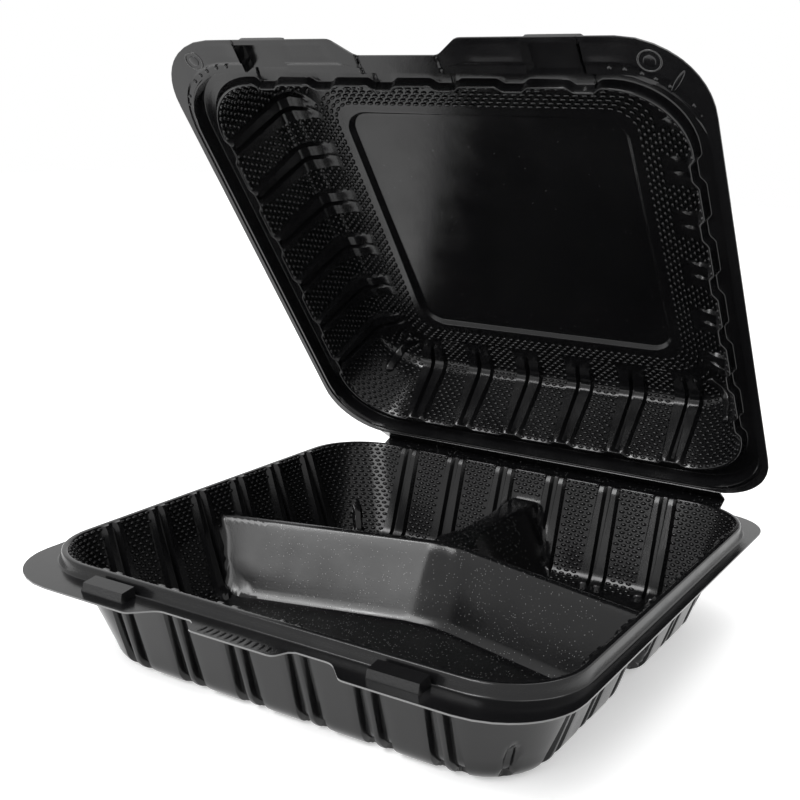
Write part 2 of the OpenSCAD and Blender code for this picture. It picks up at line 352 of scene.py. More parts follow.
@dataclass(frozen=True)
class RibPairs:
    """The rib pairs of a bowl: two broad flat ridges side by side that widen towards the foot of the wall.

    Attributes:
        spacing: The distance between the two ridges' middles at the top and at the foot.
        width: The width of each ridge at the top and at the foot.
        rise: The height of the ridges at the top, at the foot and at their end. The end is round, or where it
            has no height, the ridges fade out.
        edge: The width of a ridge's sloping edge at the top and at the foot.
        wall: The depth at which the wall ends and its rounding starts.
        end: The distance past the wall's end at which the ridges end.
        fade: The depths between which the ridges rise from nothing, at the top.
        merge: The depths between which the pair parts from one block into two ridges.
    """

    spacing: tuple[float, float]
    width: tuple[float, float]
    rise: tuple[float, float, float]
    edge: tuple[float, float]
    wall: float
    end: float
    fade: tuple[float, float] = (-1.0, -0.5)
    merge: tuple[float, float] = (-2.0, -1.0)

    def merged(self, depth: float) -> float:
        """Give the share to which the two ridges are one block at a depth."""
        return 1.0 - float(smoothstep(self.merge[0], self.merge[1], np.array(depth)))

    def section(self, depth: float) -> tuple[float, float, float]:
        """Give the spacing, width and edge of the ridges at a depth.

        Args:
            depth: The depth below the top of the wall.

        Returns:
            The three lengths.
        """
        t = min(1.0, max(0.0, depth / self.wall))
        spacing = self.spacing[0] + (self.spacing[1] - self.spacing[0]) * t
        width = self.width[0] + (self.width[1] - self.width[0]) * t
        edge = self.edge[0] + (self.edge[1] - self.edge[0]) * t
        return spacing, width, edge + (width * 0.46 - edge) * self.merged(depth)

    def height(self, along: Array, depth: float, past: float) -> Array:
        """Give the height of the ribs over the plain sheet at one level.

        Args:
            along: The distance along the wall from its middle.
            depth: The depth of the level below the top of the wall.
            past: The distance along the sheet past the wall's end.

        Returns:
            The height of the surface over the plain sheet.
        """
        spacing, width, edge = self.section(depth)
        t = min(1.0, max(0.0, depth / self.wall))
        rise = self.rise[0] + (self.rise[1] - self.rise[0]) * t
        fade = 0.0 if self.rise[2] > 0.0 else 0.45 * self.end
        rise += (self.rise[2] - self.rise[1]) * float(smoothstep(fade, self.end, np.array(past)))
        over = min(1.0, max(0.0, (past - self.end + width / 2) / (width / 2)))
        half = width / 2 * (math.sqrt(1.0 - over * over) if self.rise[2] > 0.0 else 1.0)
        index = np.clip(np.round(along / RIB_PITCH - 0.5) + 0.5, -2.5, 2.5)
        place = np.abs(along - index * RIB_PITCH)
        ridge = smoothstep(0.0, edge, half - np.abs(place - spacing / 2))
        outer = (spacing + width) / 2
        block = 1.0 - smoothstep(outer - edge, outer + 1.2, place)
        shape = np.maximum(ridge, block * self.merged(depth))
        shape = shape * float(smoothstep(self.fade[0], self.fade[1], np.array(depth)))
        return rise * np.where(np.abs(along) >= FAR, 0.0, shape)


@dataclass(frozen=True)
class CornerRib:
    """The single upright ridge in each corner, with round ends.

    Attributes:
        start: Where it starts, as a distance past the wall's end.
        end: Where it ends.
        width: Its width.
        rise: Its height.
        formed: Whether the sheet itself is pushed up, so that it shows from the outside too.
    """

    start: float
    end: float
    width: float = 5.2
    rise: float = 1.9
    formed: bool = True

    def height(self, distance: Array, past: float) -> Array:
        """Give its height over the plain sheet.

        Args:
            distance: The distances from the corner's diagonal.
            past: The distance along the sheet past the wall's end.

        Returns:
            The heights.
        """
        over = max(0.0, self.start - past, past - self.end)
        reach = self.width / 2 - np.sqrt(distance ** 2 + over ** 2)
        return self.rise * smoothstep(0.0, 1.2, reach)


def grid_normals(vertices: Array, faces: Array) -> Array:
    """Give smooth vertex normals of a triangle mesh, weighted by area.

    Args:
        vertices: The mesh's points.
        faces: Its triangles.

    Returns:
        One unit direction for each point.
    """
    a, b, c = (vertices[faces[:, i]] for i in range(3))
    n = np.cross(b - a, c - a)
    out = np.zeros_like(vertices)
    for i in range(3):
        np.add.at(out, faces[:, i], n)
    return out / np.maximum(np.linalg.norm(out, axis=1, keepdims=True), 1e-12)


@dataclass
class Skin:
    """The upper face of a sheet as points, faces and pattern coordinates."""

    points: Array
    quads: Array
    triangles: Array
    uv: Array
    rim: Array

    def closed_sheet(self, thickness: float) -> tuple[Array, list[list[int]], Array]:
        """Give the skin its thickness and close it along the rim.

        Args:
            thickness: The thickness of the sheet.

        Returns:
            The points, the faces and the pattern coordinates of each point.
        """
        split = np.concatenate([self.quads[:, [0, 1, 2]], self.quads[:, [0, 2, 3]], self.triangles])
        normals = grid_normals(self.points, split)
        count = len(self.points)
        points = np.concatenate([self.points, self.points - normals * thickness])
        uv = np.concatenate([self.uv, self.uv])
        ring = self.rim
        after = np.roll(ring, -1)
        edge = np.stack([ring, ring + count, after + count, after], 1)
        faces: list[list[int]] = self.quads.tolist() + self.triangles.tolist()
        faces += (self.quads[:, ::-1] + count).tolist() + (self.triangles[:, ::-1] + count).tolist()
        faces += edge.tolist()
        return points, faces, uv


def tube_faces(first: int, rings: int, around: int, closed: bool) -> list[list[int]]:
    """Join rings of points into a tube.

    Args:
        first: The index of the first point.
        rings: The number of rings.
        around: The number of points in each ring.
        closed: Whether the last ring is joined to the first.

    Returns:
        The faces.
    """
    faces = []
    for i in range(rings if closed else rings - 1):
        here, after = first + i * around, first + (i + 1) % rings * around
        for j in range(around):
            turn = (j + 1) % around
            faces.append([here + j, after + j, after + turn, here + turn])
    return faces


def off_sheet(out: Array, slope: float) -> list[float]:
    """Give the direction straight off the sheet's upper face, from its outward direction and its slope."""
    return [-out[0] * math.cos(slope), -out[1] * math.cos(slope), math.sin(slope)]


def fill_inside(ring_points: Array, first: int, extra: Array,
                chains: Sequence[tuple[int, int]]) -> tuple[Array, Array]:
    """Fill the inside of a ring with triangles through extra points.

    Args:
        ring_points: The ring's points in plan.
        first: The index of the ring's first point in the skin.
        extra: Points inside the ring.
        chains: Pairs of extra points that have to be joined by an edge.

    Returns:
        The plan points that are new, and the triangles, in which a new point i is written as -1 - i.
    """
    n = len(ring_points)
    coords = [Vector(p) for p in np.concatenate([ring_points, extra]).tolist()]
    edges = [(i, (i + 1) % n) for i in range(n)] + [(a + n, b + n) for a, b in chains]
    verts, _, faces, origins, _, _ = delaunay_2d_cdt(coords, edges, [list(range(n))], 1, 1e-5)
    index = np.zeros(len(verts), int)
    new = []
    for i, (v, origin) in enumerate(zip(verts, origins)):
        ring_ids = [o for o in origin if o < n]
        if ring_ids:
            index[i] = first + ring_ids[0]
        else:
            index[i] = -1 - len(new)
            new.append((v.x, v.y))
    triangles = []
    for face in faces:
        for k in range(1, len(face) - 1):
            triangles.append([index[face[0]], index[face[k]], index[face[k + 1]]])
    return np.array(new), np.array(triangles)


def inside_square(points: Array, half: float, centre: float, margin: float) -> Array:
    """Tell which plan points lie inside a rounded square by at least a margin.

    Args:
        points: The plan points.
        half: Half the width of the square.
        centre: The distance of the corners' centres from the middle.
        margin: The least distance from the square's edge.

    Returns:
        True for each point that lies inside.
    """
    q = np.abs(points)
    r = half - centre
    beyond = np.maximum(q - centre, 0.0)
    distance = np.linalg.norm(beyond, axis=1) + np.minimum(np.maximum(q[:, 0], q[:, 1]) - centre, 0.0)
    return distance < r - margin


def new_object(name: str, data: bpy.types.ID) -> bpy.types.Object:
    """Add an object to the scene.

    Args:
        name: Its name.
        data: Its mesh, camera or lamp.

    Returns:
        The new object.
    """
    item = bpy.data.objects.new(name, data)
    bpy.context.scene.collection.objects.link(item)
    return item


def make_mesh(name: str, points: Array, faces: list[list[int]], uv: Array, crease: float) -> bpy.types.Object:
    """Make a mesh object in metres with smooth faces and sharp creases.

    Args:
        name: The piece's name.
        points: Its points in metres.
        faces: Its faces.
        uv: The pattern coordinates of each point.
        crease: The angle in degrees past which an edge is sharp.

    Returns:
        The new object.
    """
    mesh = bpy.data.meshes.new(name)
    mesh.from_pydata(points.tolist(), [], faces)
    layer = mesh.uv_layers.new(name="skin")
    loops = np.zeros(len(mesh.loops), int)
    mesh.loops.foreach_get("vertex_index", loops)
    layer.data.foreach_set("uv", uv[loops].astype(np.float32).ravel())
    mesh.validate()
    mesh.update()
    mesh.shade_smooth()
    mesh.set_sharp_from_angle(angle=math.radians(crease))
    return new_object(name, mesh)


def place_base(points: Array) -> Array:
    """Take points from the rim's frame to their place in the base, in metres."""
    return (points + np.array([0.0, 0.0, BASE_HEIGHT])) * MM


def place_lid(points: Array) -> Array:
    """Take points of the turned-over lid to their place in the open lid, in metres.

    Args:
        points: The points in millimetres.

    Returns:
        The points in metres.
    """
    y = points[:, 1] - FOLD_Y
    z = LID_SEAT - points[:, 2] - FOLD_Z
    c, s = math.cos(-OPEN_ANGLE), math.sin(-OPEN_ANGLE)
    return np.stack([points[:, 0], FOLD_Y + y * c - z * s, FOLD_Z + y * s + z * c], 1) * MM


@dataclass(frozen=True)
class BlackSheet:
    """The finish of the formed sheet: glossy black plastic with uneven gloss, grain, ripples, pale specks that
    are partly mineral filler and partly painted glints, and a painted highlight on the sheet's edge.

    Attributes:
        name: The material's name.
        ripple_turn: How far the ripples are turned about the X axis, so that they run up the sheet.
        ripple: The height of the ripples in metres.
        fleck_glint_share: The share of the pattern's cells on the bottom that hold a pale speck, partly mineral
            filler and partly a painted glint.
        colour: The colour of the plastic.
        fleck_glint: The colour of the pale specks, partly painted glints.
        cut_edge_highlight: The colour of the sheet's edge, lighter than the sheet as a painted highlight.
        gloss: The least and the greatest roughness.
        shine: The strength of the plastic's reflections.
        sizes: How many patches of gloss, pale specks with painted glints, ripples and grains there are to a
            metre, roughly.
    """

    name: str
    ripple_turn: float
    ripple: float
    fleck_glint_share: float
    cut_edge_highlight: tuple[float, float, float, float]
    colour: tuple[float, float, float, float] = (0.0035, 0.0035, 0.0038, 1.0)
    fleck_glint: tuple[float, float, float, float] = (0.17, 0.17, 0.17, 1.0)
    gloss: tuple[float, float] = (0.13, 0.25)
    shine: float = 0.36
    sizes: tuple[float, float, float, float] = (55.0, 900.0, 190.0, 1400.0)

    def build(self) -> bpy.types.Material:
        """Build the material.

        Returns:
            The material.
        """
        material = bpy.data.materials.new(self.name)
        material.use_nodes = True
        tree = material.node_tree
        nodes, link = tree.nodes, tree.links.new
        shader = nodes["Principled BSDF"]
        shader.inputs["Specular IOR Level"].default_value = self.shine
        place = nodes.new("ShaderNodeTexCoord").outputs["Object"]
        patch, fleck_glint, ripple, grain = self.sizes

        uneven = self.mapped(tree, self.noise(tree, place, patch, 4.0), (0.3, 0.7), self.gloss)
        link(uneven, shader.inputs["Roughness"])

        # Pale specks, partly the plastic's mineral filler and partly painted glints: a lighter base colour in
        # scattered cells on the floor and dividers.
        cells = nodes.new("ShaderNodeTexVoronoi")
        cells.inputs["Scale"].default_value = fleck_glint
        link(place, cells.inputs["Vector"])
        fleck_glint_spot = self.mapped(tree, cells.outputs["Distance"], (0.08, 0.2), (1.0, 0.0))
        chance = nodes.new("ShaderNodeSeparateColor")
        link(cells.outputs["Color"], chance.inputs["Color"])
        fleck_glint_cell = self.worked_out(tree, "GREATER_THAN", chance.outputs["Red"], 1.0 - self.fleck_glint_share)
        skin = nodes.new("ShaderNodeUVMap")
        skin.uv_map = "skin"
        down = nodes.new("ShaderNodeSeparateXYZ")
        link(skin.outputs["UV"], down.inputs["Vector"])
        bottom = self.worked_out(tree, "GREATER_THAN", down.outputs["Y"], BOTTOM_PATTERN - 95.0)
        fleck_glint_mask = self.worked_out(tree, "MULTIPLY", self.worked_out(tree, "MULTIPLY", fleck_glint_spot, fleck_glint_cell), bottom)
        fleck_glint_tint = self.mixed(tree, fleck_glint_mask, self.colour, self.fleck_glint)
        # Painted highlight: the sheet's edge round the flange takes a lighter colour, standing for the light that
        # the thin edge catches.
        border = self.worked_out(tree, "LESS_THAN", down.outputs["Y"], 0.01 - BORDER_PATTERN)
        link(self.mixed(tree, border, fleck_glint_tint, self.cut_edge_highlight), shader.inputs["Base Color"])

        turn = nodes.new("ShaderNodeMapping")
        turn.inputs["Rotation"].default_value = (self.ripple_turn, 0.0, 0.0)
        turn.inputs["Scale"].default_value = (1.0, 1.0, 0.12)
        link(place, turn.inputs["Vector"])
        ripples = self.noise(tree, turn.outputs["Vector"], ripple, 2.0)
        grains = self.noise(tree, place, grain, 3.0)
        normal = self.bump(tree, ripples, 1.0, self.ripple, None)
        link(self.bump(tree, grains, 0.35, 0.00006, normal), shader.inputs["Normal"])
        return material

    @staticmethod
    def mapped(tree: bpy.types.NodeTree, value: bpy.types.NodeSocket, source: tuple[float, float],
               target: tuple[float, float]) -> bpy.types.NodeSocket:
        """Stretch one range of a value to another.

        Args:
            tree: The material's nodes.
            value: The output that holds the value.
            source: The ends of the range that it comes in.
            target: The ends of the range that it is stretched to.

        Returns:
            The new output.
        """
        node = tree.nodes.new("ShaderNodeMapRange")
        for name, end in zip(("From Min", "From Max", "To Min", "To Max"), source + target):
            node.inputs[name].default_value = end
        tree.links.new(value, node.inputs["Value"])
        return node.outputs["Result"]

    @staticmethod
    def bump(tree: bpy.types.NodeTree, height: bpy.types.NodeSocket, strength: float, distance: float,
             normal: bpy.types.NodeSocket | None) -> bpy.types.NodeSocket:
        """Raise a pattern off the surface.

        Args:
            tree: The material's nodes.
            height: The output that holds the pattern.
            strength: How strongly it shows.
            distance: The pattern's greatest height in metres.
            normal: The output of a coarser relief that this one lies on, if any.

        Returns:
            The new output.
        """
        node = tree.nodes.new("ShaderNodeBump")
        node.inputs["Strength"].default_value = strength
        node.inputs["Distance"].default_value = distance
        tree.links.new(height, node.inputs["Height"])
        if normal is not None:
            tree.links.new(normal, node.inputs["Normal"])
        return node.outputs["Normal"]

    @staticmethod
    def worked_out(tree: bpy.types.NodeTree, operation: str, first: bpy.types.NodeSocket,
                   second: bpy.types.NodeSocket | float) -> bpy.types.NodeSocket:
        """Work out one value from two.

        Args:
            tree: The material's nodes.
            operation: The name of the sum or test.
            first: The output that holds the first value.
            second: The output that holds the second value, or a plain number.

        Returns:
            The new output.
        """
        node = tree.nodes.new("ShaderNodeMath")
        node.operation = operation
        tree.links.new(first, node.inputs[0])
        if isinstance(second, float):
            node.inputs[1].default_value = second
        else:
            tree.links.new(second, node.inputs[1])
        return node.outputs["Value"]

    @staticmethod
    def mixed(tree: bpy.types.NodeTree, factor: bpy.types.NodeSocket,
              first: bpy.types.NodeSocket | tuple[float, float, float, float],
              second: tuple[float, float, float, float]) -> bpy.types.NodeSocket:
        """Mix two colours.

        Args:
            tree: The material's nodes.
            factor: The output that holds the share of the second colour.
            first: The first colour, or the output that holds it.
            second: The second colour.

        Returns:
            The new output.
        """
        node = tree.nodes.new("ShaderNodeMix")
        node.data_type = "RGBA"
        tree.links.new(factor, node.inputs["Factor"])
        if isinstance(first, tuple):
            node.inputs["A"].default_value = first
        else:
            tree.links.new(first, node.inputs["A"])
        node.inputs["B"].default_value = second
        return node.outputs["Result"]

    @staticmethod
    def noise(tree: bpy.types.NodeTree, place: bpy.types.NodeSocket, scale: float,
              detail: float) -> bpy.types.NodeSocket:
        """Add a noise pattern.

        Args:
            tree: The material's nodes.
            place: The output that holds the coordinates.
            scale: The fineness of the pattern.
            detail: How many finer layers it has.

        Returns:
            The new output.
        """
        node = tree.nodes.new("ShaderNodeTexNoise")
        node.inputs["Scale"].default_value = scale
        node.inputs["Detail"].default_value = detail
        tree.links.new(place, node.inputs["Vector"])
        return node.outputs["Fac"]


@dataclass
class StudTree:
    """The tree of nodes that sets a small raised dot on every point of a mesh."""

    segments: int = 8
    rings: int = 4

    def build(self) -> bpy.types.NodeTree:
        """Build the tree, with inputs for the points, the dots' fineness and their finish.

        Returns:
            The tree.
        """
        tree = bpy.data.node_groups.new("raised_dots", "GeometryNodeTree")
        face = tree.interface
        face.new_socket("Points", in_out="INPUT", socket_type="NodeSocketGeometry")
        for name in ("Segments", "Rings"):
            face.new_socket(name, in_out="INPUT", socket_type="NodeSocketInt")
        face.new_socket("Finish", in_out="INPUT", socket_type="NodeSocketMaterial")
        face.new_socket("Dots", in_out="OUTPUT", socket_type="NodeSocketGeometry")
        nodes, link = tree.nodes, tree.links.new
        inputs = nodes.new("NodeGroupInput")
        outputs = nodes.new("NodeGroupOutput")
        dot = nodes.new("GeometryNodeMeshUVSphere")
        link(inputs.outputs["Segments"], dot.inputs["Segments"])
        link(inputs.outputs["Rings"], dot.inputs["Rings"])
        dot.inputs["Radius"].default_value = 1.0
        smooth = nodes.new("GeometryNodeSetShadeSmooth")
        link(dot.outputs["Mesh"], smooth.inputs["Geometry"])
        stored = {}
        for name in ("turn", "size"):
            node = nodes.new("GeometryNodeInputNamedAttribute")
            node.data_type = "FLOAT_VECTOR"
            node.inputs["Name"].default_value = name
            stored[name] = node.outputs["Attribute"]
        rotation = nodes.new("FunctionNodeEulerToRotation")
        link(stored["turn"], rotation.inputs["Euler"])
        place = nodes.new("GeometryNodeInstanceOnPoints")
        link(inputs.outputs["Points"], place.inputs["Points"])
        link(smooth.outputs["Geometry"], place.inputs["Instance"])
        link(rotation.outputs["Rotation"], place.inputs["Rotation"])
        link(stored["size"], place.inputs["Scale"])
        real = nodes.new("GeometryNodeRealizeInstances")
        link(place.outputs["Instances"], real.inputs["Geometry"])
        finish = nodes.new("GeometryNodeSetMaterial")
        link(real.outputs["Geometry"], finish.inputs["Geometry"])
        link(inputs.outputs["Finish"], finish.inputs["Material"])
        link(finish.outputs["Geometry"], outputs.inputs["Dots"])
        return tree

    def scatter(self, name: str, places: DotPlaces, put: Callable[[Array], Array],
                finish: bpy.types.Material) -> bpy.types.Object:
        """Set the dots and make them a plain mesh.

        Args:
            name: The piece's name.
            places: Where the dots stand.
            put: The function that takes points from the rim's frame to their place.
            finish: The dots' material.

        Returns:
            The piece.
        """
        origin = put(places.points)
        length = put(places.points + places.lengths) - origin
        height = put(places.points + places.heights) - origin
        angles = []
        for x, z in zip(length, height):
            up = Vector(z).normalized()
            first = Vector(x).normalized()
            second = up.cross(first).normalized()
            first = second.cross(up)
            angles.append(tuple(Matrix((first, second, up)).transposed().to_euler()))
        mesh = bpy.data.meshes.new(name + "_points")
        mesh.from_pydata(origin.tolist(), [], [])
        for key, values in (("turn", np.array(angles)), ("size", places.sizes * MM)):
            data = mesh.attributes.new(key, "FLOAT_VECTOR", "POINT")
            data.data.foreach_set("vector", values.astype(np.float32).ravel())
        holder = new_object(name + "_points", mesh)
        modifier = holder.modifiers.new("dots", "NODES")
        tree = self.build()
        modifier.node_group = tree
        values = {"Segments": self.segments, "Rings": self.rings, "Finish": finish}
        for item in tree.interface.items_tree:
            if item.in_out == "INPUT" and item.name in values:
                modifier[item.identifier] = values[item.name]
        graph = bpy.context.evaluated_depsgraph_get()
        plain = bpy.data.meshes.new_from_object(holder.evaluated_get(graph))
        holder.modifiers.remove(modifier)
        bpy.data.objects.remove(holder)
        plain.name = name
        return new_object(name, plain)


@dataclass(frozen=True)
class Row:
    """One level of a formed sheet.

    Attributes:
        half: Half its width.
        level: Its height.
        centre: The distance of its corners' centres from the middle.
        slope: The angle of the sheet there: 0 for an upright wall, a right angle for a level bottom.
        depth: Its depth below the top of the wall.
        past: Its distance along the sheet past the wall's end.
        ribbed: The share of the ribs' height that it shows.
    """

    half: float
    level: float
    centre: float
    slope: float
    depth: float
    past: float
    ribbed: float


@dataclass(frozen=True)
class DotPlaces:
    """Where raised dots stand: their middles, the directions of their length and height, and their sizes."""

    points: Array
    lengths: Array
    heights: Array
    sizes: Array


@dataclass
class FormedSheet:
    """What the tray and the lid share: a flange, a rim, ribbed walls with raised dots, and a bottom."""

    edge: tuple[tuple[float, float, float], ...]
    shares: tuple[float, ...]
    ribs: RibPairs
    corner_rib: CornerRib
    front_extra: tuple[float, ...]
    middle_step: float
    rim_centre: float
    draft: float
    dots_end: float
    front_sides: tuple[float, ...]
    dot_gap: float = 3.7
    dot_row: float = 1.85
    dot_size: tuple[float, float, float] = (1.4, 0.78, 0.7)
    dot_lift: float = 0.15
    latch_x: float = 60.0

    def rows(self) -> list[Row]:
        """List the levels from the flange's inner edge to the bottom."""
        raise NotImplementedError

    def flange_level(self, xy: Array, share: float) -> Array:
        """Give the height of the flange over plan points at one share of the way to its edge."""
        raise NotImplementedError

    def snapped(self, x: Array, y: Array) -> Array:
        """Give the sideways shifts that bring columns of the front flange onto the sides of the lugs or pockets.

        Args:
            x: The columns' places across.
            y: Their places from front to back.

        Returns:
            One shift for each column.
        """
        shift = np.zeros(len(x))
        for side in [v * sign for sign in (-1.0, 1.0) for v in self.front_sides]:
            far = np.where((y < -90.0) & (shift == 0.0), np.abs(x - side), 1e9)
            shift[np.argmin(far)] = side - x[np.argmin(far)]
        return shift

    def wall_row(self, past: float) -> Row:
        """Give the level at a distance along the sheet past the wall's end, negative on the wall.

        Args:
            past: The distance along the sheet.

        Returns:
            The level.
        """
        raise NotImplementedError

    def rib_share(self, xy: Array, level: float) -> Array:
        """Give the share of the ribs' height that shows at plan points of one level."""
        return np.ones(len(xy))

    def grid(self) -> tuple[Array, Array, Array, Array]:
        """Build the flange, the rim and the walls as a net of points.

        Returns:
            The points, the faces, the pattern coordinates and the indices of the points, row by row.
        """
        columns = Columns.build(self.front_extra, self.middle_step)
        rows = self.rows()
        closed = outline(self.edge)
        plan, heading, _ = columns.ring(rows[0].half, self.rim_centre, self.ribs.section(0.0))
        edge_xy = ray_to_outline(plan, heading, closed)
        girth = np.linalg.norm(np.diff(plan, axis=0), axis=1)
        s = np.concatenate([[0.0], np.cumsum(girth)])
        shift = np.stack([self.snapped(plan[:, 0], plan[:, 1]), np.zeros(len(plan))], 1)
        layers, uvs = [], []
        for f in reversed(self.shares[1:]):
            xy = plan + (edge_xy - plan) * f + shift
            layers.append(np.concatenate([xy, self.flange_level(xy, f)[:, None]], 1))
            uvs.append(np.stack([s, np.full(len(s), -BORDER_PATTERN * f)], 1))
        travel = 0.0
        for i, row in enumerate(rows):
            travel += math.dist((row.half, row.level), (rows[i - 1].half, rows[i - 1].level)) if i else 0.0
            section = self.ribs.section(row.depth)
            xy, normal, along = columns.ring(row.half, row.centre, section)
            rise = self.ribs.height(along, row.depth, row.past) * row.ribbed
            if row.depth > 6.0 and self.corner_rib.formed:
                distance = columns.corner_distance(row.half, row.centre, section)
                rise = rise + np.where(along >= FAR, self.corner_rib.height(distance, row.past), 0.0)
            rise = rise * self.rib_share(xy, row.level)
            xy = xy - normal * (rise * math.cos(row.slope))[:, None]
            height = row.level + rise * math.sin(row.slope)
            if row.depth == 0.0:
                height = np.minimum(height, self.rim_cap(xy, height))
            layers.append(np.concatenate([xy, height[:, None]], 1))
            uvs.append(np.stack([s, np.full(len(s), travel)], 1))
        net = np.array(layers)
        count, cols = net.shape[:2]
        index = np.arange(count * cols).reshape(count, cols)
        after = np.roll(index, -1, axis=1)
        quads = np.stack([index[:-1], after[:-1], after[1:], index[1:]], -1).reshape(-1, 4)
        return net.reshape(-1, 3), quads, np.array(uvs).reshape(-1, 2), index

    def rim_cap(self, xy: Array, height: Array) -> Array:
        """Give the greatest height that the rim may have at plan points."""
        return height

    def closed_bottom(self, extra: Array, chains: Sequence[tuple[int, int]], level: float) -> Skin:
        """Close the net at the bottom.

        Args:
            extra: The plan points of the bottom.
            chains: The pairs of them that are joined.
            level: The bottom's height.

        Returns:
            The whole upper face of the sheet.
        """
        points, quads, uv, index = self.grid()
        last = index[-1]
        before, after = np.roll(points[last], 1, axis=0), np.roll(points[last], -1, axis=0)
        back = ((points[last] - before)[:, :2] * (after - points[last])[:, :2]).sum(axis=1) < 0
        points[last[back]] = (before[back] + after[back]) / 2
        new, triangles = fill_inside(points[last, :2], int(last[0]), extra, chains)
        triangles = np.where(triangles < 0, len(points) - 1 - triangles, triangles)
        points = np.concatenate([points, np.concatenate([new, np.full((len(new), 1), level)], 1)])
        uv = np.concatenate([uv, new + np.array([0.0, BOTTOM_PATTERN])])
        return Skin(points, quads, triangles, uv, index[0])

    def dot_ring(self, row: Row, odd: bool) -> list[tuple[float, float, float, float, float]]:
        """Lay out the dots of one level.

        Args:
            row: The level.
            odd: Whether the level's dots stand between those of the level above.

        Returns:
            For each dot its plan place, its outward direction and its distance from the corner's diagonal.
        """
        spacing, width, _ = self.ribs.section(row.depth)
        outer = (spacing + width) / 2
        shift = 0.5 if odd else 0.0
        r = row.half - row.centre
        found: list[tuple[float, float, float, float, float]] = []
        ribbed = row.past < self.ribs.end + 1.0
        edge = 2.5 * RIB_PITCH + outer + 1.0 if ribbed else 0.0
        if ribbed:
            room = RIB_PITCH / 2 - outer - 0.35
            for k in range(-2, 3):
                n = int(room / self.dot_gap + 1.5)
                for j in range(-n, n + 1):
                    step = (j + shift) * self.dot_gap
                    if abs(step) <= room:
                        found.append((k * RIB_PITCH + step, row.half, 0.0, 1.0, FAR))
        straight = max(0.0, row.centre - edge)
        first = math.asin(min(1.0, max(0.0, edge - row.centre) / r))
        arc = r * (math.pi / 2 - 2 * first)
        length = 2 * straight + arc
        n = max(1, round(length / self.dot_gap))
        for j in range(n + (0 if odd else 1)):
            at = (j + shift) * length / n
            if at < straight:
                found.append((edge + at, row.half, 0.0, 1.0, length / 2 - at))
            elif at > straight + arc:
                side_y = row.centre - (at - straight - arc)
                found.append((row.half, side_y, 1.0, 0.0, at - length / 2))
            else:
                angle = first + (at - straight) / r
                found.append((row.centre + r * math.sin(angle), row.centre + r * math.cos(angle),
                              math.sin(angle), math.cos(angle), abs(at - length / 2)))
        return found

    def corner_capsules(self, along: int = 30, across: int = 16) -> tuple[Array, list[list[int]]]:
        """Build the upright ridges of the corners as long round-ended forms that follow the sheet.

        Args:
            along: The number of rings along each ridge.
            across: The number of points in each ring.

        Returns:
            The points in the rim's frame and the faces.
        """
        rib = self.corner_rib
        points: list[list[float]] = []
        faces: list[list[int]] = []
        reach = (rib.end - rib.start) / 2 + rib.width / 2
        for side in Side:
            first = len(points)
            for i in range(along):
                t = -math.cos(math.pi * (i + 0.5) / along)
                past = (rib.start + rib.end) / 2 + reach * t
                round_end = max(0.0, reach * abs(t) - reach + rib.width / 2) / (rib.width / 2)
                share = math.sqrt(max(0.0, 1.0 - round_end ** 2))
                row = self.wall_row(past)
                diagonal = math.sqrt(0.5)
                place = np.array([[row.centre + (row.half - row.centre) * diagonal] * 2])
                xy, out = turned(place[:, 0], place[:, 1], np.array([diagonal]), np.array([diagonal]),
                                 np.array([float(side.value)]))
                middle = np.array([xy[0, 0], xy[0, 1], row.level])
                sideways = np.array([-out[0, 1], out[0, 0], 0.0])
                up = np.array(off_sheet(out[0], row.slope))
                for j in range(across):
                    a = 2 * math.pi * j / across
                    rise = rib.rise * abs(math.sin(a)) ** 0.55 if math.sin(a) > 0 else 0.35 * math.sin(a)
                    points.append((middle + sideways * rib.width / 2 * math.cos(a) * share
                                   + up * rise * share).tolist())
            faces += tube_faces(first, along, across, False)
            faces.append([first + j for j in range(across)])
            faces.append([first + along * across - 1 - j for j in range(across)])
        return np.array(points), faces

    def dots(self) -> DotPlaces:
        """Lay out the raised dots of the walls, on the plain sheet between the ribs.

        Returns:
            The places in the rim's frame.
        """
        places, lengths, heights = [], [], []
        odd = False
        for past in np.arange(1.3 - self.ribs.wall / math.cos(self.draft), self.dots_end, self.dot_row):
            row = self.wall_row(float(past))
            for x, y, nx, ny, corner in self.dot_ring(row, odd):
                near_rib = corner < self.corner_rib.width / 2 + 0.7
                if near_rib and self.corner_rib.start - 3.2 < row.past < self.corner_rib.end + 3.2:
                    continue
                for side in Side:
                    turn = np.array([float(side.value)])
                    xy, out = turned(np.array([x]), np.array([y]), np.array([nx]), np.array([ny]), turn)
                    places.append([xy[0, 0], xy[0, 1], row.level])
                    lengths.append([-out[0, 1], out[0, 0], 0.0])
                    heights.append(off_sheet(out[0], row.slope))
            odd = not odd
        size = np.tile(np.array(self.dot_size), (len(places), 1))
        middles = np.array(places) + self.dot_lift * np.array(heights)
        return DotPlaces(middles, np.array(lengths), np.array(heights), size)


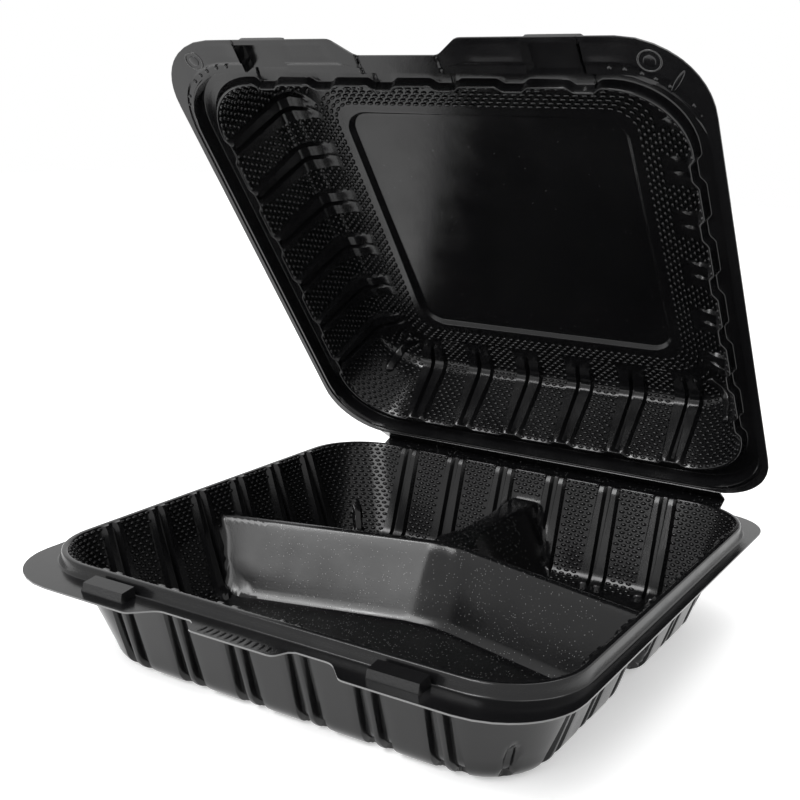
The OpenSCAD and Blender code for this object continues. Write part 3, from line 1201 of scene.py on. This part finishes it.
@dataclass
class BaseTray(FormedSheet):
    """The base: three compartments, a rim bead, a flange with two wings, a pull tab and two latch lugs."""

    edge: tuple[tuple[float, float, float], ...] = (
        (17.5, -120.5, 3.0), (20.5, -113.8, 3.0), (36.0, -113.8, 6.0), (44.0, -122.0, 4.0),
        (112.7, -122.0, 30.0), (112.7, 111.5, 20.0))
    shares: tuple[float, ...] = (
        0.0, 0.0397, 0.0675, 0.16, 0.29, 0.42, 0.5476, 0.611, 0.7, 0.8, 0.92, 0.985, 1.0)
    ribs: RibPairs = RibPairs((6.3, 6.9), (4.6, 5.9), (1.9, 2.5, 2.2), (1.35, 0.9), 38.45, 9.6, fade=(0.1, 0.9))
    corner_rib: CornerRib = CornerRib(-8.0, 4.0)
    front_extra: tuple[float, ...] = (
        15.5, 16.6, 17.4, 18.2, 19.0, 19.8, 20.6, 22.0, 34.0, 35.5, 37.0, 38.4, 39.8, 41.2, 42.5, 43.6, 44.6,
        46.5, 49.0, 50.25, 50.75, 51.5, 55.0, 57.0, 68.5, 69.25, 69.75)
    middle_step: float = 0.85
    rim_centre: float = 78.1
    draft: float = math.radians(18.5)
    dots_end: float = 8.5
    front_sides: tuple[float, ...] = (50.25, 50.75, 69.25, 69.75)
    opening: float = 105.1
    bead: float = 4.6
    floor: float = -40.0
    fillet: float = 9.0
    middle: float = 83.698
    divider_top: float = -8.5
    apex: float = 26.0
    arm_slope: float = math.tan(math.radians(14.8))
    divider_edge: float = 1.6
    divider_draft: float = math.radians(22.0)
    corner_radius: float = 27.0
    floor_centre: float = 65.698
    lug_half: float = 9.75
    lug_ends: tuple[float, float] = (-117.1, -109.9)
    lug_sides: tuple[float, float, float] = (0.5, 0.8, 0.35)
    lug_height: float = 4.0

    def centre_at(self, half: float) -> float:
        """Give the corner centre of the level with a given half width."""
        return self.rim_centre if half >= self.opening else max(half - self.corner_radius, self.floor_centre)

    def wall_row(self, past: float) -> Row:
        """Give the level at a distance along the sheet past the wall's end, negative on the wall.

        Args:
            past: The distance along the sheet.

        Returns:
            The level.
        """
        slope = self.draft
        depth = self.ribs.wall + min(0.0, past) * math.cos(self.draft)
        if past <= 0.0:
            half, level = self.opening - depth * math.tan(self.draft), self.bead - depth
        else:
            slope = min(math.pi / 2, self.draft + past / self.fillet)
            half = self.middle + self.fillet * math.cos(slope)
            level = self.floor + self.fillet * (1 - math.sin(slope))
        return Row(half, level, self.centre_at(half), slope, depth, past, 1.0)

    def rows(self) -> list[Row]:
        """List the levels from the flange's inner edge to the floor.

        Returns:
            The levels, from the rim inward.
        """
        foot = self.wall_row(0.0)
        path = rounded_path(
            [(109.4, 0.0), (108.5, 0.0), (107.2, self.bead), (self.opening, self.bead), (foot.half, foot.level)],
            [0, 0.7, 0.75, 0.85, 0], 4)
        rows = [Row(h, z, self.centre_at(h), self.draft, 0.0 if h >= self.opening else self.bead - z, -40.0, 1.0)
                for h, z in subdivided(path[:-1], 1.3)]
        length = (self.ribs.wall - rows[-1].depth) / math.cos(self.draft)
        rows += [self.wall_row(length * (i / 20 - 1)) for i in range(1, 21)]
        turn = math.pi / 2 - self.draft
        rows += [self.wall_row(self.fillet * turn * i / 10) for i in range(1, 11)]
        past = self.fillet * turn
        rows += [Row(h, self.floor, self.floor_centre, math.pi / 2, self.ribs.wall, past + self.middle - h, 1.0)
                 for h in (82.0, 79.5)]
        return rows

    def arms(self) -> list[tuple[Array, Array, float, float]]:
        """List the divider arms.

        Returns:
            For each arm its start and end in plan, and half its top's width at the wall and at its start.
        """
        reach = 106.1
        apex = np.array([0.0, self.apex])
        left = np.array([-reach, self.apex - reach * self.arm_slope])
        right = np.array([reach, self.apex - reach * self.arm_slope])
        return [(apex, right, 0.6, 0.6), (apex, left, 0.6, 0.6), (apex, np.array([0.0, reach]), 5.4, 0.6)]

    def arm_distances(self, xy: Array) -> Array:
        """Give the distance of plan points from each arm's flat top.

        Args:
            xy: The plan points.

        Returns:
            The distances, one row for each arm.
        """
        rows = []
        for start, end, far, near in self.arms():
            length = np.linalg.norm(end - start)
            along = (end - start) / length
            rel = xy - start
            t = np.clip(rel @ along, 0, length)
            waist = min(far, 3.3)
            flat = near + (waist - near) * smoothstep(0, 16, t) + (far - waist) * smoothstep(40, 76, t)
            rows.append(np.linalg.norm(rel - t[:, None] * along, axis=1) - flat)
        return np.array(rows)

    def divider_distance(self, xy: Array) -> Array:
        """Give the distance from the dividers' flat tops, rounded where the arms meet.

        Args:
            xy: The plan points.

        Returns:
            The distances, negative over the flat tops.
        """
        right, left, rear = self.arm_distances(xy)
        front = smooth_min(left, right, np.full(len(xy), 7.0))
        behind = xy[:, 1] - self.apex + np.abs(xy[:, 0]) * self.arm_slope
        return smooth_min(front, rear, 1.0 + 23.0 * smoothstep(0.0, 9.0, behind))

    def divider_height(self, xy: Array) -> Array:
        """Give the height of the dividers' surface over plan points.

        Args:
            xy: The plan points.

        Returns:
            The heights, far below the floor away from the dividers.
        """
        d = np.maximum(self.divider_distance(xy), 0.0)
        r = self.divider_edge
        reach = r * math.cos(self.divider_draft)
        cap = self.divider_top - r + np.sqrt(np.maximum(r * r - np.minimum(d, r) ** 2, 0.0))
        start = self.divider_top - r * (1 - math.sin(self.divider_draft))
        return np.where(d < reach, cap, start - (d - reach) / math.tan(self.divider_draft))

    def rib_share(self, xy: Array, level: float) -> Array:
        """Let the ribs sink into the wall where they would meet a divider."""
        return smoothstep(0.5, 4.5, level - self.divider_height(xy))

    def flange_level(self, xy: Array, share: float) -> Array:
        """Give the height of the flange, with its two latch lugs.

        Args:
            xy: The plan points.
            share: How far they lie on the way to the flange's edge; not used here.

        Returns:
            The heights.
        """
        beside = self.lug_half - np.abs(np.abs(xy[:, 0]) - self.latch_x)
        front = xy[:, 1] - self.lug_ends[0]
        back = self.lug_ends[1] - xy[:, 1]
        rise = np.minimum(beside / self.lug_sides[0], front / self.lug_sides[1])
        reach = np.minimum(rise, back / self.lug_sides[2])
        top = self.lug_height - 0.12 * np.maximum(0.0, -110.3 - xy[:, 1])
        return np.clip(reach * self.lug_height, 0.0, top)

    def contour_point(self, p: Array, across: Array, target: float) -> Array:
        """Move a plan point across an arm until it lies at a given distance from the dividers' tops.

        Args:
            p: The point.
            across: The direction across the arm.
            target: The distance.

        Returns:
            The moved point.
        """
        for _ in range(10):
            step = target - float(self.divider_distance(p[None])[0])
            p = p + across * step * 0.8
        return p

    def floor_points(self, half: float, centre: float) -> tuple[Array, list[tuple[int, int]]]:
        """Lay out the points of the floor: in lines along the dividers, and on a plain lattice elsewhere.

        Args:
            half: Half the width of the ring round the floor.
            centre: The ring's corner centre.

        Returns:
            The points and the pairs of them that are joined.
        """
        points: list[tuple[float, float]] = []
        chains: list[tuple[int, int]] = []
        targets = [0.0] + [self.divider_edge * v for v in (0.35, 0.65, 0.927)]
        targets += [self.divider_edge + v for v in (1.5, 3.5, 5.6, 7.6, 9.2, 10.6, 11.8, 12.9, 14.1, 15.6, 17.4)]
        for k, (start, end, _, _) in enumerate(self.arms()):
            along = (end - start) / np.linalg.norm(end - start)
            for sign in (1.0, -1.0):
                across = np.array([-along[1], along[0]]) * sign
                for target in targets:
                    previous = -1
                    for t in np.arange(0.0, 112.0, 1.9 if target < 4 else 2.8):
                        p = self.contour_point(start + along * t + across * (target + 1.0), across, target)
                        own = self.arm_distances(p[None])[:, 0]
                        gone = abs(float(self.divider_distance(p[None])[0]) - target) > 0.05
                        if gone or own[k] > own.min() + 1e-6 or not inside_square(p[None], half, centre, 0.9)[0]:
                            previous = -1
                            continue
                        points.append((float(p[0]), float(p[1])))
                        if previous >= 0 and math.dist(points[previous], points[-1]) < 4.5:
                            chains.append((previous, len(points) - 1))
                        previous = len(points) - 1
        xs = np.arange(-78, 78.1, 4.0)
        ys = np.arange(-78, 78.1, 3.4)
        lattice = np.array([(x + (2.0 if j % 2 else 0.0), y) for j, y in enumerate(ys) for x in xs])
        away = self.divider_distance(lattice)
        lattice = lattice[inside_square(lattice, half, centre, 2.0) & ((away > 20.5) | (away < -0.8))]
        points += [(float(x), float(y)) for x, y in lattice]
        return np.array(points), chains

    def skin(self) -> Skin:
        """Build the upper face of the base.

        Returns:
            The skin in the rim's frame.
        """
        last = self.rows()[-1]
        extra, chains = self.floor_points(last.half, last.centre)
        skin = self.closed_bottom(extra, chains, self.floor)
        points = skin.points
        inside = np.maximum(np.abs(points[:, 0]), np.abs(points[:, 1])) < self.opening
        pick = inside & (points[:, 2] < 4.0)
        top = self.divider_height(points[pick, :2])
        z = points[pick, 2]
        blend = 1.2 + (1.0 - smoothstep(-17.0, -9.5, top)) * (1.6 + 6.2 * smoothstep(-39.9, -33.0, z))
        points[pick, 2] = np.where(top > z - blend, smooth_max(top, z, blend), z)
        return skin

    def dots(self) -> DotPlaces:
        """Lay out the raised dots of the walls, clear of the dividers.

        Returns:
            The places in the rim's frame.
        """
        every = super().dots()
        clear = self.divider_height(every.points[:, :2]) < every.points[:, 2] - 2.5
        return DotPlaces(every.points[clear], every.lengths[clear], every.heights[clear], every.sizes[clear])

    def build(self, finish: bpy.types.Material, stud: "StudTree") -> None:
        """Build the base's pieces and put them in the CAD node's place.

        Args:
            finish: The sheet's material.
            stud: The tree that sets the dots.
        """
        points, faces, uv = self.skin().closed_sheet(SHEET)
        piece = make_mesh("base_tray_skin", place_base(points), faces, uv, CREASE)
        piece.data.materials.append(finish)
        dots = stud.scatter("base_tray_dots", self.dots(), place_base, finish)
        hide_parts("base_tray")
        for part in (piece, dots):
            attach(part, "base")
        LOG.info("base tray: %d faces, dots with %d faces", len(faces), len(dots.data.polygons))


@dataclass
class LidSheet(FormedSheet):
    """The lid: a ribbed bowl turned over, with an inner bead, a channel, a flange and two latch pockets."""

    edge: tuple[tuple[float, float, float], ...] = (
        (17.0, -116.5, 5.0), (26.0, -123.5, 5.0), (112.7, -123.5, 30.0), (112.7, 111.5, 28.0))
    shares: tuple[float, ...] = (
        0.0, 0.03, 0.08, 0.15, 0.215, 0.245, 0.275, 0.33, 0.42, 0.52, 0.62, 0.72, 0.8, 0.855, 0.92, 0.985, 1.0)
    ribs: RibPairs = RibPairs((6.0, 7.2), (4.5, 6.6), (2.0, 2.4, 0.0), (1.3, 0.9), 27.6, 20.5, merge=(0.3, 3.0))
    corner_rib: CornerRib = CornerRib(-7.0, 13.5, width=4.8, rise=1.7, formed=False)
    front_extra: tuple[float, ...] = (
        14.0, 15.5, 16.6, 17.6, 18.6, 19.8, 22.3, 23.3, 24.3, 25.3, 26.4, 28.0, 30.0, 47.0, 49.1, 49.7, 50.3,
        51.2, 53.0, 55.0, 57.0, 69.6, 70.2, 70.8)
    middle_step: float = 1.8
    rim_centre: float = 78.1
    draft: float = math.radians(14.3)
    dots_end: float = 30.0
    front_sides: tuple[float, ...] = (49.45, 50.05, 69.95, 70.55)
    floor: float = -36.5
    fillet: float = 8.0
    middle: float = 86.1
    bead_top: float = -2.9
    channel: float = -6.5
    panel_drop: float = 2.0
    pocket: float = 4.8
    pad: float = 0.15
    ledge: float = 0.6
    pocket_half: float = 10.55
    pocket_ends: tuple[float, float] = (-121.5, -100.0)
    pocket_sides: tuple[float, float] = (0.6, 0.76)
    rim_inner: float = 105.1
    corner_radius: float = 27.0
    wall_centre: float = 67.881
    panel_half: float = 63.5
    panel_centre: float = 52.5

    def centre_at(self, half: float) -> float:
        """Give the corner centre of a level.

        Args:
            half: Half the level's width.

        Returns:
            The distance of the corners' centres from the middle.
        """
        if half >= self.rim_inner:
            return self.rim_centre
        if half < self.panel_half:
            return self.panel_centre
        least_round = 11.0 + 0.08 * (half - self.panel_half)
        return min(max(half - self.corner_radius, self.wall_centre), half - least_round)

    def wall_row(self, past: float) -> Row:
        """Give the level at a distance along the sheet past the wall's end, negative on the wall.

        Args:
            past: The distance along the sheet.

        Returns:
            The level.
        """
        turn = self.fillet * (math.pi / 2 - self.draft)
        slope = self.draft
        depth = self.ribs.wall + min(0.0, past) * math.cos(self.draft)
        if past <= 0.0:
            foot = self.middle + self.fillet * math.cos(self.draft)
            half = foot + (self.ribs.wall - depth) * math.tan(self.draft)
            level = self.bead_top - depth
        elif past < turn:
            slope = self.draft + past / self.fillet
            half = self.middle + self.fillet * math.cos(slope)
            level = self.floor + self.fillet * (1 - math.sin(slope))
        else:
            slope, half, level = math.pi / 2, self.middle - (past - turn), self.floor
        return Row(half, level, self.centre_at(half), slope, depth, past, 1.0)

    def rows(self) -> list[Row]:
        """List the levels from the flange's inner edge to the step round the panel.

        Returns:
            The levels, from the rim inward.
        """
        foot = self.wall_row(0.0)
        top = self.wall_row(-self.ribs.wall / math.cos(self.draft))
        path = rounded_path(
            [(109.7, 0.0), (109.0, 0.0), (108.0, self.channel), (102.8, self.channel), (101.5, self.bead_top),
             (top.half, self.bead_top), (foot.half, foot.level)],
            [0, 0.5, 0.6, 0.5, 0.55, 0.5, 0], 2)
        rows = []
        for h, z in subdivided(path[:-1], 2.2):
            depth = max(0.0, self.bead_top - z) if h < top.half + 0.4 else 0.0
            ribbed = 1.0 - float(smoothstep(103.4, 104.9, np.array(h)))
            rows.append(Row(h, z, self.centre_at(h), 0.0, depth, -30.0, ribbed))
        length = (self.ribs.wall - rows[-1].depth) / math.cos(self.draft)
        rows += [self.wall_row(length * (i / 13 - 1)) for i in range(1, 14)]
        turn = self.fillet * (math.pi / 2 - self.draft)
        rows += [self.wall_row(turn * i / 8) for i in range(1, 9)]
        roof = (1.0, 1.9, 2.8, 4.4, 6.2, 8.0, 9.9, 12.5, 16.5, 20.5)
        rows += [self.wall_row(turn + v) for v in roof]
        step = rounded_path([(64.6, self.floor), (self.panel_half, self.floor),
                             (61.9, self.floor - self.panel_drop),
                             (60.6, self.floor - self.panel_drop)], [0, 0.8, 0.8, 0], 2)
        rows += [Row(h, z, self.centre_at(h), math.pi / 2, self.ribs.wall, 99.0, 0.0) for h, z in step]
        return rows

    def flange_level(self, xy: Array, share: float) -> Array:
        """Give the flange's level, with a ledge along the rim, two latch pockets and pads beside them.

        Args:
            xy: The plan points.
            share: How far they lie on the way to the flange's edge.

        Returns:
            The levels.
        """
        side = np.abs(xy[:, 0])
        ledge = self.ledge * (1.0 - float(smoothstep(0.22, 0.27, np.array(share))))
        pads = np.minimum(smoothstep(28.0, 29.6, side), 1.0 - smoothstep(46.2, 47.6, side))
        pads = np.maximum(pads, np.minimum(smoothstep(72.0, 73.4, side), 1.0 - smoothstep(82.0, 84.5, side)))
        pads = pads * smoothstep(-122.4, -121.6, xy[:, 1]) * (1.0 - smoothstep(-115.4, -114.2, xy[:, 1]))
        beside = self.pocket_half - np.abs(side - self.latch_x)
        front = xy[:, 1] - self.pocket_ends[0]
        back = self.pocket_ends[1] - xy[:, 1]
        reach = np.minimum(np.minimum(beside / self.pocket_sides[0], front / self.pocket_sides[1]), back)
        pocket = np.clip(reach * self.pocket, 0.0, self.pocket)
        return -np.maximum(pocket, ledge + self.pad * np.where(xy[:, 1] < 0.0, pads, 0.0))

    def rim_cap(self, xy: Array, height: Array) -> Array:
        """Let the latch pockets run through the rim."""
        outside = np.maximum(np.abs(xy[:, 0]), np.abs(xy[:, 1])) > 107.0
        return np.where(outside, self.flange_level(xy, 0.0), height)

    def skin(self) -> Skin:
        """Build the upper face of the turned-over lid.

        Returns:
            The skin in the rim's frame.
        """
        last = self.rows()[-1]
        xs = np.arange(-66, 66.1, 5.0)
        ys = np.arange(-66, 66.1, 4.4)
        lattice = np.array([(x + (2.5 if j % 2 else 0.0), y) for j, y in enumerate(ys) for x in xs])
        lattice = lattice[inside_square(lattice, last.half, last.centre, 1.2)]
        return self.closed_bottom(lattice, [], self.floor - self.panel_drop)

    def build(self, finish: bpy.types.Material, stud: "StudTree") -> None:
        """Build the lid's pieces and put them in the CAD node's place.

        Args:
            finish: The sheet's material.
            stud: The tree that sets the dots.
        """
        points, faces, uv = self.skin().closed_sheet(SHEET)
        piece = make_mesh("lid_skin", place_lid(points), [f[::-1] for f in faces], uv, CREASE)
        piece.data.materials.append(finish)
        dots = stud.scatter("lid_dots", self.dots(), place_lid, finish)
        points, faces = self.corner_capsules()
        ribs = make_mesh("lid_corner_ribs", place_lid(points), [f[::-1] for f in faces], points[:, :2], 60.0)
        ribs.data.materials.append(finish)
        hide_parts("lid")
        for part in (piece, dots, ribs):
            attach(part, "lid_body")
        LOG.info("lid: %d faces, dots with %d faces", len(piece.data.polygons), len(dots.data.polygons))


@dataclass(frozen=True)
class Marks:
    """The small raised marks of the forming tool: ridges on the pull tab, and pips, bosses and a bar on the lid.

    Attributes:
        ridges: The number of ridges on the pull tab.
        ridge_gap: The distance between them.
        pips: The turns in degrees from straight ahead at which pips stand round the lid's front corners.
        boss: The middle of the round boss in the lid's front corners.
        bar: The two ends of the bar across the lid's right front corner.
        pip_circle: The corner's centre and the radius on which the pips stand.
        ridge_size: Half the length, width and height of a ridge.
        pip_size: The same for a pip.
        boss_size: The same for a boss.
        ring: The radius of the ring round a boss, half its width and height, and its middle's level.
    """

    ridges: int = 11
    ridge_gap: float = 2.75
    pips: tuple[float, ...] = (2.0, 11.0, 21.0, 29.0, 38.0, 55.0, 63.0, 71.0, 79.0)
    boss: tuple[float, float] = (93.5, 114.4)
    bar: tuple[tuple[float, float], tuple[float, float]] = ((98.9, -102.6), (104.6, -111.2))
    pip_circle: tuple[float, float] = (78.1, 33.4)
    ridge_size: tuple[float, float, float] = (2.5, 0.7, 0.27)
    pip_size: tuple[float, float, float] = (0.85, 0.85, 0.6)
    boss_size: tuple[float, float, float] = (2.3, 2.3, 0.27)
    ring: tuple[float, float, float, float] = (3.9, 0.42, 0.32, -0.05)

    @staticmethod
    def places(rows: Sequence[tuple[tuple[float, float, float], float, tuple[float, float, float]]]) -> DotPlaces:
        """Gather marks on a level sheet.

        Args:
            rows: For each mark its place, its heading in the sheet's plane and its size.

        Returns:
            The places for the tree that sets the marks.
        """
        points = np.array([row[0] for row in rows])
        lengths = np.array([[math.cos(row[1]), math.sin(row[1]), 0.0] for row in rows])
        sizes = np.array([row[2] for row in rows])
        return DotPlaces(points, lengths, np.tile([0.0, 0.0, 1.0], (len(rows), 1)), sizes)

    def tab_ridges(self) -> DotPlaces:
        """Lay out the ridges on the pull tab.

        Returns:
            The places in the rim's frame.
        """
        rows = []
        for i in range(self.ridges):
            x = (i - (self.ridges - 1) / 2) * self.ridge_gap
            rows.append(((x, -117.2, 0.0), math.pi / 2 + math.radians(0.5) * x, self.ridge_size))
        return self.places(rows)

    def lid_marks(self) -> DotPlaces:
        """Lay out the pips, the bosses and the bar.

        Returns:
            The places in the turned-over lid's frame.
        """
        rows = []
        centre, radius = self.pip_circle
        for sign in (-1.0, 1.0):
            for degrees in self.pips:
                turn = math.radians(degrees)
                x, y = centre + radius * math.sin(turn), -centre - radius * math.cos(turn)
                rows.append(((sign * x, y, -self.pip_size[2]), 0.0, self.pip_size))
            rows.append(((sign * self.boss[0], -self.boss[1], 0.0), 0.0, self.boss_size))
        (x0, y0), (x1, y1) = self.bar
        rows.append((((x0 + x1) / 2, (y0 + y1) / 2, -0.1), math.atan2(y1 - y0, x1 - x0),
                     (math.dist((x0, y0), (x1, y1)) / 2, 1.0, 0.37)))
        return self.places(rows)

    def boss_ring(self) -> tuple[Array, list[list[int]]]:
        """Build the thin raised rings round the two bosses.

        Returns:
            The points in the turned-over lid's frame, and the faces.
        """
        around, across = 40, 8
        radius, half_width, half_height, level = self.ring
        points, faces = [], []
        for sign in (-1.0, 1.0):
            first = len(points)
            for i in range(around):
                a = 2 * math.pi * i / around
                for j in range(across):
                    b = 2 * math.pi * j / across
                    r = radius + half_width * math.cos(b)
                    points.append((sign * self.boss[0] + r * math.cos(a), -self.boss[1] + r * math.sin(a),
                                   level + half_height * math.sin(b)))
            faces += tube_faces(first, around, across, True)
        return np.array(points), faces

    def build(self, tray_finish: bpy.types.Material, lid_finish: bpy.types.Material) -> None:
        """Set the marks on the two sheets.

        Args:
            tray_finish: The tray's material.
            lid_finish: The lid's material.
        """
        stud = StudTree(segments=14, rings=8)
        ridges = stud.scatter("tab_ridges", self.tab_ridges(), place_base, tray_finish)
        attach(ridges, "base")
        pips = stud.scatter("lid_pips", self.lid_marks(), place_lid, lid_finish)
        points, faces = self.boss_ring()
        rings = make_mesh("lid_boss_rings", place_lid(points), [f[::-1] for f in faces], points[:, :2], 60.0)
        rings.data.materials.append(lid_finish)
        for part in (pips, rings):
            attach(part, "lid_body")
        LOG.info("marks: %d faces", sum(len(part.data.polygons) for part in (ridges, pips, rings)))


@dataclass
class HingeStrip:
    """The living hinge: one sheet from the base's back edge over the fold to the lid's back edge.

    Attributes:
        half_width: Half its width.
        edge_y: Where the flanges end at the back.
        lap: The share of each half's length by which the strip laps onto the flange.
        thickness: The thickness of the strip.
    """

    half_width: float = 89.0
    edge_y: float = 111.5
    lap: float = 0.08
    thickness: float = 0.45

    def build(self, finish: bpy.types.Material) -> None:
        """Build the strip as one closed sheet, folded over the hinge's line at the lid's resting angle.

        Args:
            finish: The strip's material.
        """
        fold = np.array([FOLD_Y, FOLD_Z])
        start = np.array([self.edge_y, BASE_HEIGHT])
        c, s = math.cos(-OPEN_ANGLE), math.sin(-OPEN_ANGLE)
        rel = np.array([self.edge_y - FOLD_Y, LID_SEAT - FOLD_Z])
        end = fold + np.array([rel[0] * c - rel[1] * s, rel[0] * s + rel[1] * c])
        n = 8
        down = [start + (fold - start) * t for t in np.linspace(-self.lap, 1, n)]
        up = [fold + (end - fold) * t for t in np.linspace(0, 1 + self.lap, n)]
        line = np.array(down[:-1] + [fold] + up[1:])
        xs = np.linspace(-self.half_width, self.half_width, 90)
        points = np.array([[(x, y, z) for x in xs] for y, z in line]).reshape(-1, 3)
        rows, cols = len(line), len(xs)
        index = np.arange(rows * cols).reshape(rows, cols)
        quads = np.stack([index[:-1, :-1], index[:-1, 1:], index[1:, 1:], index[1:, :-1]], -1).reshape(-1, 4)
        border = np.concatenate([index[0], index[1:, -1], index[-1, -2::-1], index[-2:0:-1, 0]])
        skin = Skin(points, quads, np.zeros((0, 3), int), points[:, :2], border)
        body, faces, uv = skin.closed_sheet(self.thickness)
        piece = make_mesh("hinge_strip", body * MM, faces, uv, 60.0)
        piece.data.materials.append(finish)
        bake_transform(piece)
        LOG.info("hinge strip: %d points", len(body))


@dataclass(frozen=True)
class Studio:
    """The camera, the lamps, the white surroundings and the floor.

    Attributes:
        focal_px: The focal length in pixels of the photograph.
        centre_px: The pixel that the camera's axis goes through.
        right: The camera's direction to the right.
        down: Its downward direction.
        forward: Its viewing direction.
        place: Its place in the rim's frame, in millimetres.
        frame_px: The width and height of the photograph.
        sensor: The width of the camera's sensor in millimetres.
        floor_light: How much the floor is lifted to white for the camera and in reflections.
    """

    focal_px: float = 1213.15
    centre_px: tuple[float, float] = (394.88, 392.79)
    right: tuple[float, float, float] = (0.8500349, 0.5259923, 0.0277991)
    down: tuple[float, float, float] = (0.1383678, -0.1720643, -0.9753195)
    forward: tuple[float, float, float] = (-0.5082273, 0.8329022, -0.2190410)
    place: tuple[float, float, float] = (233.7314, -404.6668, 165.9914)
    frame_px: float = 800.0
    sensor: float = 36.0
    floor_light: float = 0.34

    def camera(self) -> None:
        """Set up the camera at the photograph's viewing angle."""
        data = bpy.data.cameras.new("camera")
        camera = new_object("camera", data)
        up = [-v for v in self.down]
        back = [-v for v in self.forward]
        at = [self.place[0] * MM, self.place[1] * MM, (self.place[2] + BASE_HEIGHT) * MM]
        rows = [[self.right[i], up[i], back[i], at[i]] for i in range(3)] + [[0, 0, 0, 1]]
        camera.matrix_world = Matrix(rows)
        data.sensor_width = self.sensor
        data.lens = self.focal_px / self.frame_px * self.sensor
        data.shift_x = (self.frame_px / 2 - self.centre_px[0]) / self.frame_px
        data.shift_y = (self.centre_px[1] - self.frame_px / 2) / self.frame_px
        bpy.context.scene.camera = camera

    @staticmethod
    def lamp(name: str, place: tuple[float, float, float], aim: tuple[float, float, float], size: float,
             watts: float) -> None:
        """Add one square soft lamp that points at a place.

        Args:
            name: Its name.
            place: Where it stands.
            aim: The place that it points at.
            size: The length of its side.
            watts: Its power.
        """
        data = bpy.data.lights.new(name, "AREA")
        data.size = size
        data.energy = watts
        lamp = new_object(name, data)
        lamp.location = place
        lamp.rotation_euler = (Vector(aim) - Vector(place)).to_track_quat("-Z", "Y").to_euler()

    def floor(self) -> None:
        """Lay a pale floor that shows white to the camera and keeps the object's shadow."""
        mesh = bpy.data.meshes.new("floor")
        half, level = 3.0, -0.0003
        corners = [(-half, -half), (half, -half), (half, half), (-half, half)]
        mesh.from_pydata([(x, y, level) for x, y in corners], [], [(0, 1, 2, 3)])
        floor = new_object("floor", mesh)
        material = bpy.data.materials.new("pale_floor")
        material.use_nodes = True
        nodes, link = material.node_tree.nodes, material.node_tree.links.new
        shader = nodes["Principled BSDF"]
        shader.inputs["Base Color"].default_value = (0.9, 0.9, 0.9, 1)
        shader.inputs["Roughness"].default_value = 0.9
        shader.inputs["Emission Color"].default_value = (1, 1, 1, 1)
        path = nodes.new("ShaderNodeLightPath")
        seen = nodes.new("ShaderNodeMath")
        seen.operation = "MAXIMUM"
        link(path.outputs["Is Camera Ray"], seen.inputs[0])
        link(path.outputs["Is Glossy Ray"], seen.inputs[1])
        lift = nodes.new("ShaderNodeMath")
        lift.operation = "MULTIPLY"
        lift.inputs[1].default_value = self.floor_light
        link(seen.outputs["Value"], lift.inputs[0])
        link(lift.outputs["Value"], shader.inputs["Emission Strength"])
        mesh.materials.append(material)

    @staticmethod
    def world() -> None:
        """Give plain white surroundings."""
        world = bpy.data.worlds.new("surroundings")
        bpy.context.scene.world = world
        world.use_nodes = True
        shader = world.node_tree.nodes["Background"]
        shader.inputs["Color"].default_value = (1, 1, 1, 1)
        shader.inputs["Strength"].default_value = 1.0

    def build(self) -> None:
        """Set up everything round the object."""
        bpy.context.scene.view_settings.view_transform = "Standard"
        self.camera()
        self.world()
        self.floor()
        self.lamp("front", (-0.04, -1.45, 0.87), (0, 0, 0.06), 0.75, 8.0)
        self.lamp("window", (-0.45, -0.95, 1.05), (0, 0, 0.1), 0.6, 10.0)
        self.lamp("sparkle", (-0.12, -1.0, 1.1), (0, 0, 0.1), 0.2, 3.5)
        self.lamp("overhead", (0.3, 0.45, 1.4), (0, 0, 0.05), 0.7, 4.5)
        LOG.info("camera, lamps and floor")


def main() -> None:
    """Build the container and its surroundings."""
    logging.basicConfig(level=logging.INFO, format="%(name)s: %(message)s")
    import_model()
    # In both finishes the fourth value is the share of pale specks, partly painted glints, and the fifth is the
    # colour of the sheet's edge, lightened as a painted highlight.
    tray_finish = BlackSheet("black_tray_sheet", 0.0, 0.00001, 0.6, (0.13, 0.13, 0.13, 1.0)).build()
    up_the_lid = math.pi / 2 - OPEN_ANGLE
    lid_finish = BlackSheet("black_lid_sheet", up_the_lid, 0.00003, 0.03, (0.02, 0.02, 0.02, 1.0)).build()
    stud = StudTree()
    Studio().build()
    BaseTray().build(tray_finish, stud)
    LidSheet().build(lid_finish, stud)
    HingeStrip().build(tray_finish)
    Marks().build(tray_finish, lid_finish)


if __name__ == "__main__":
    main()
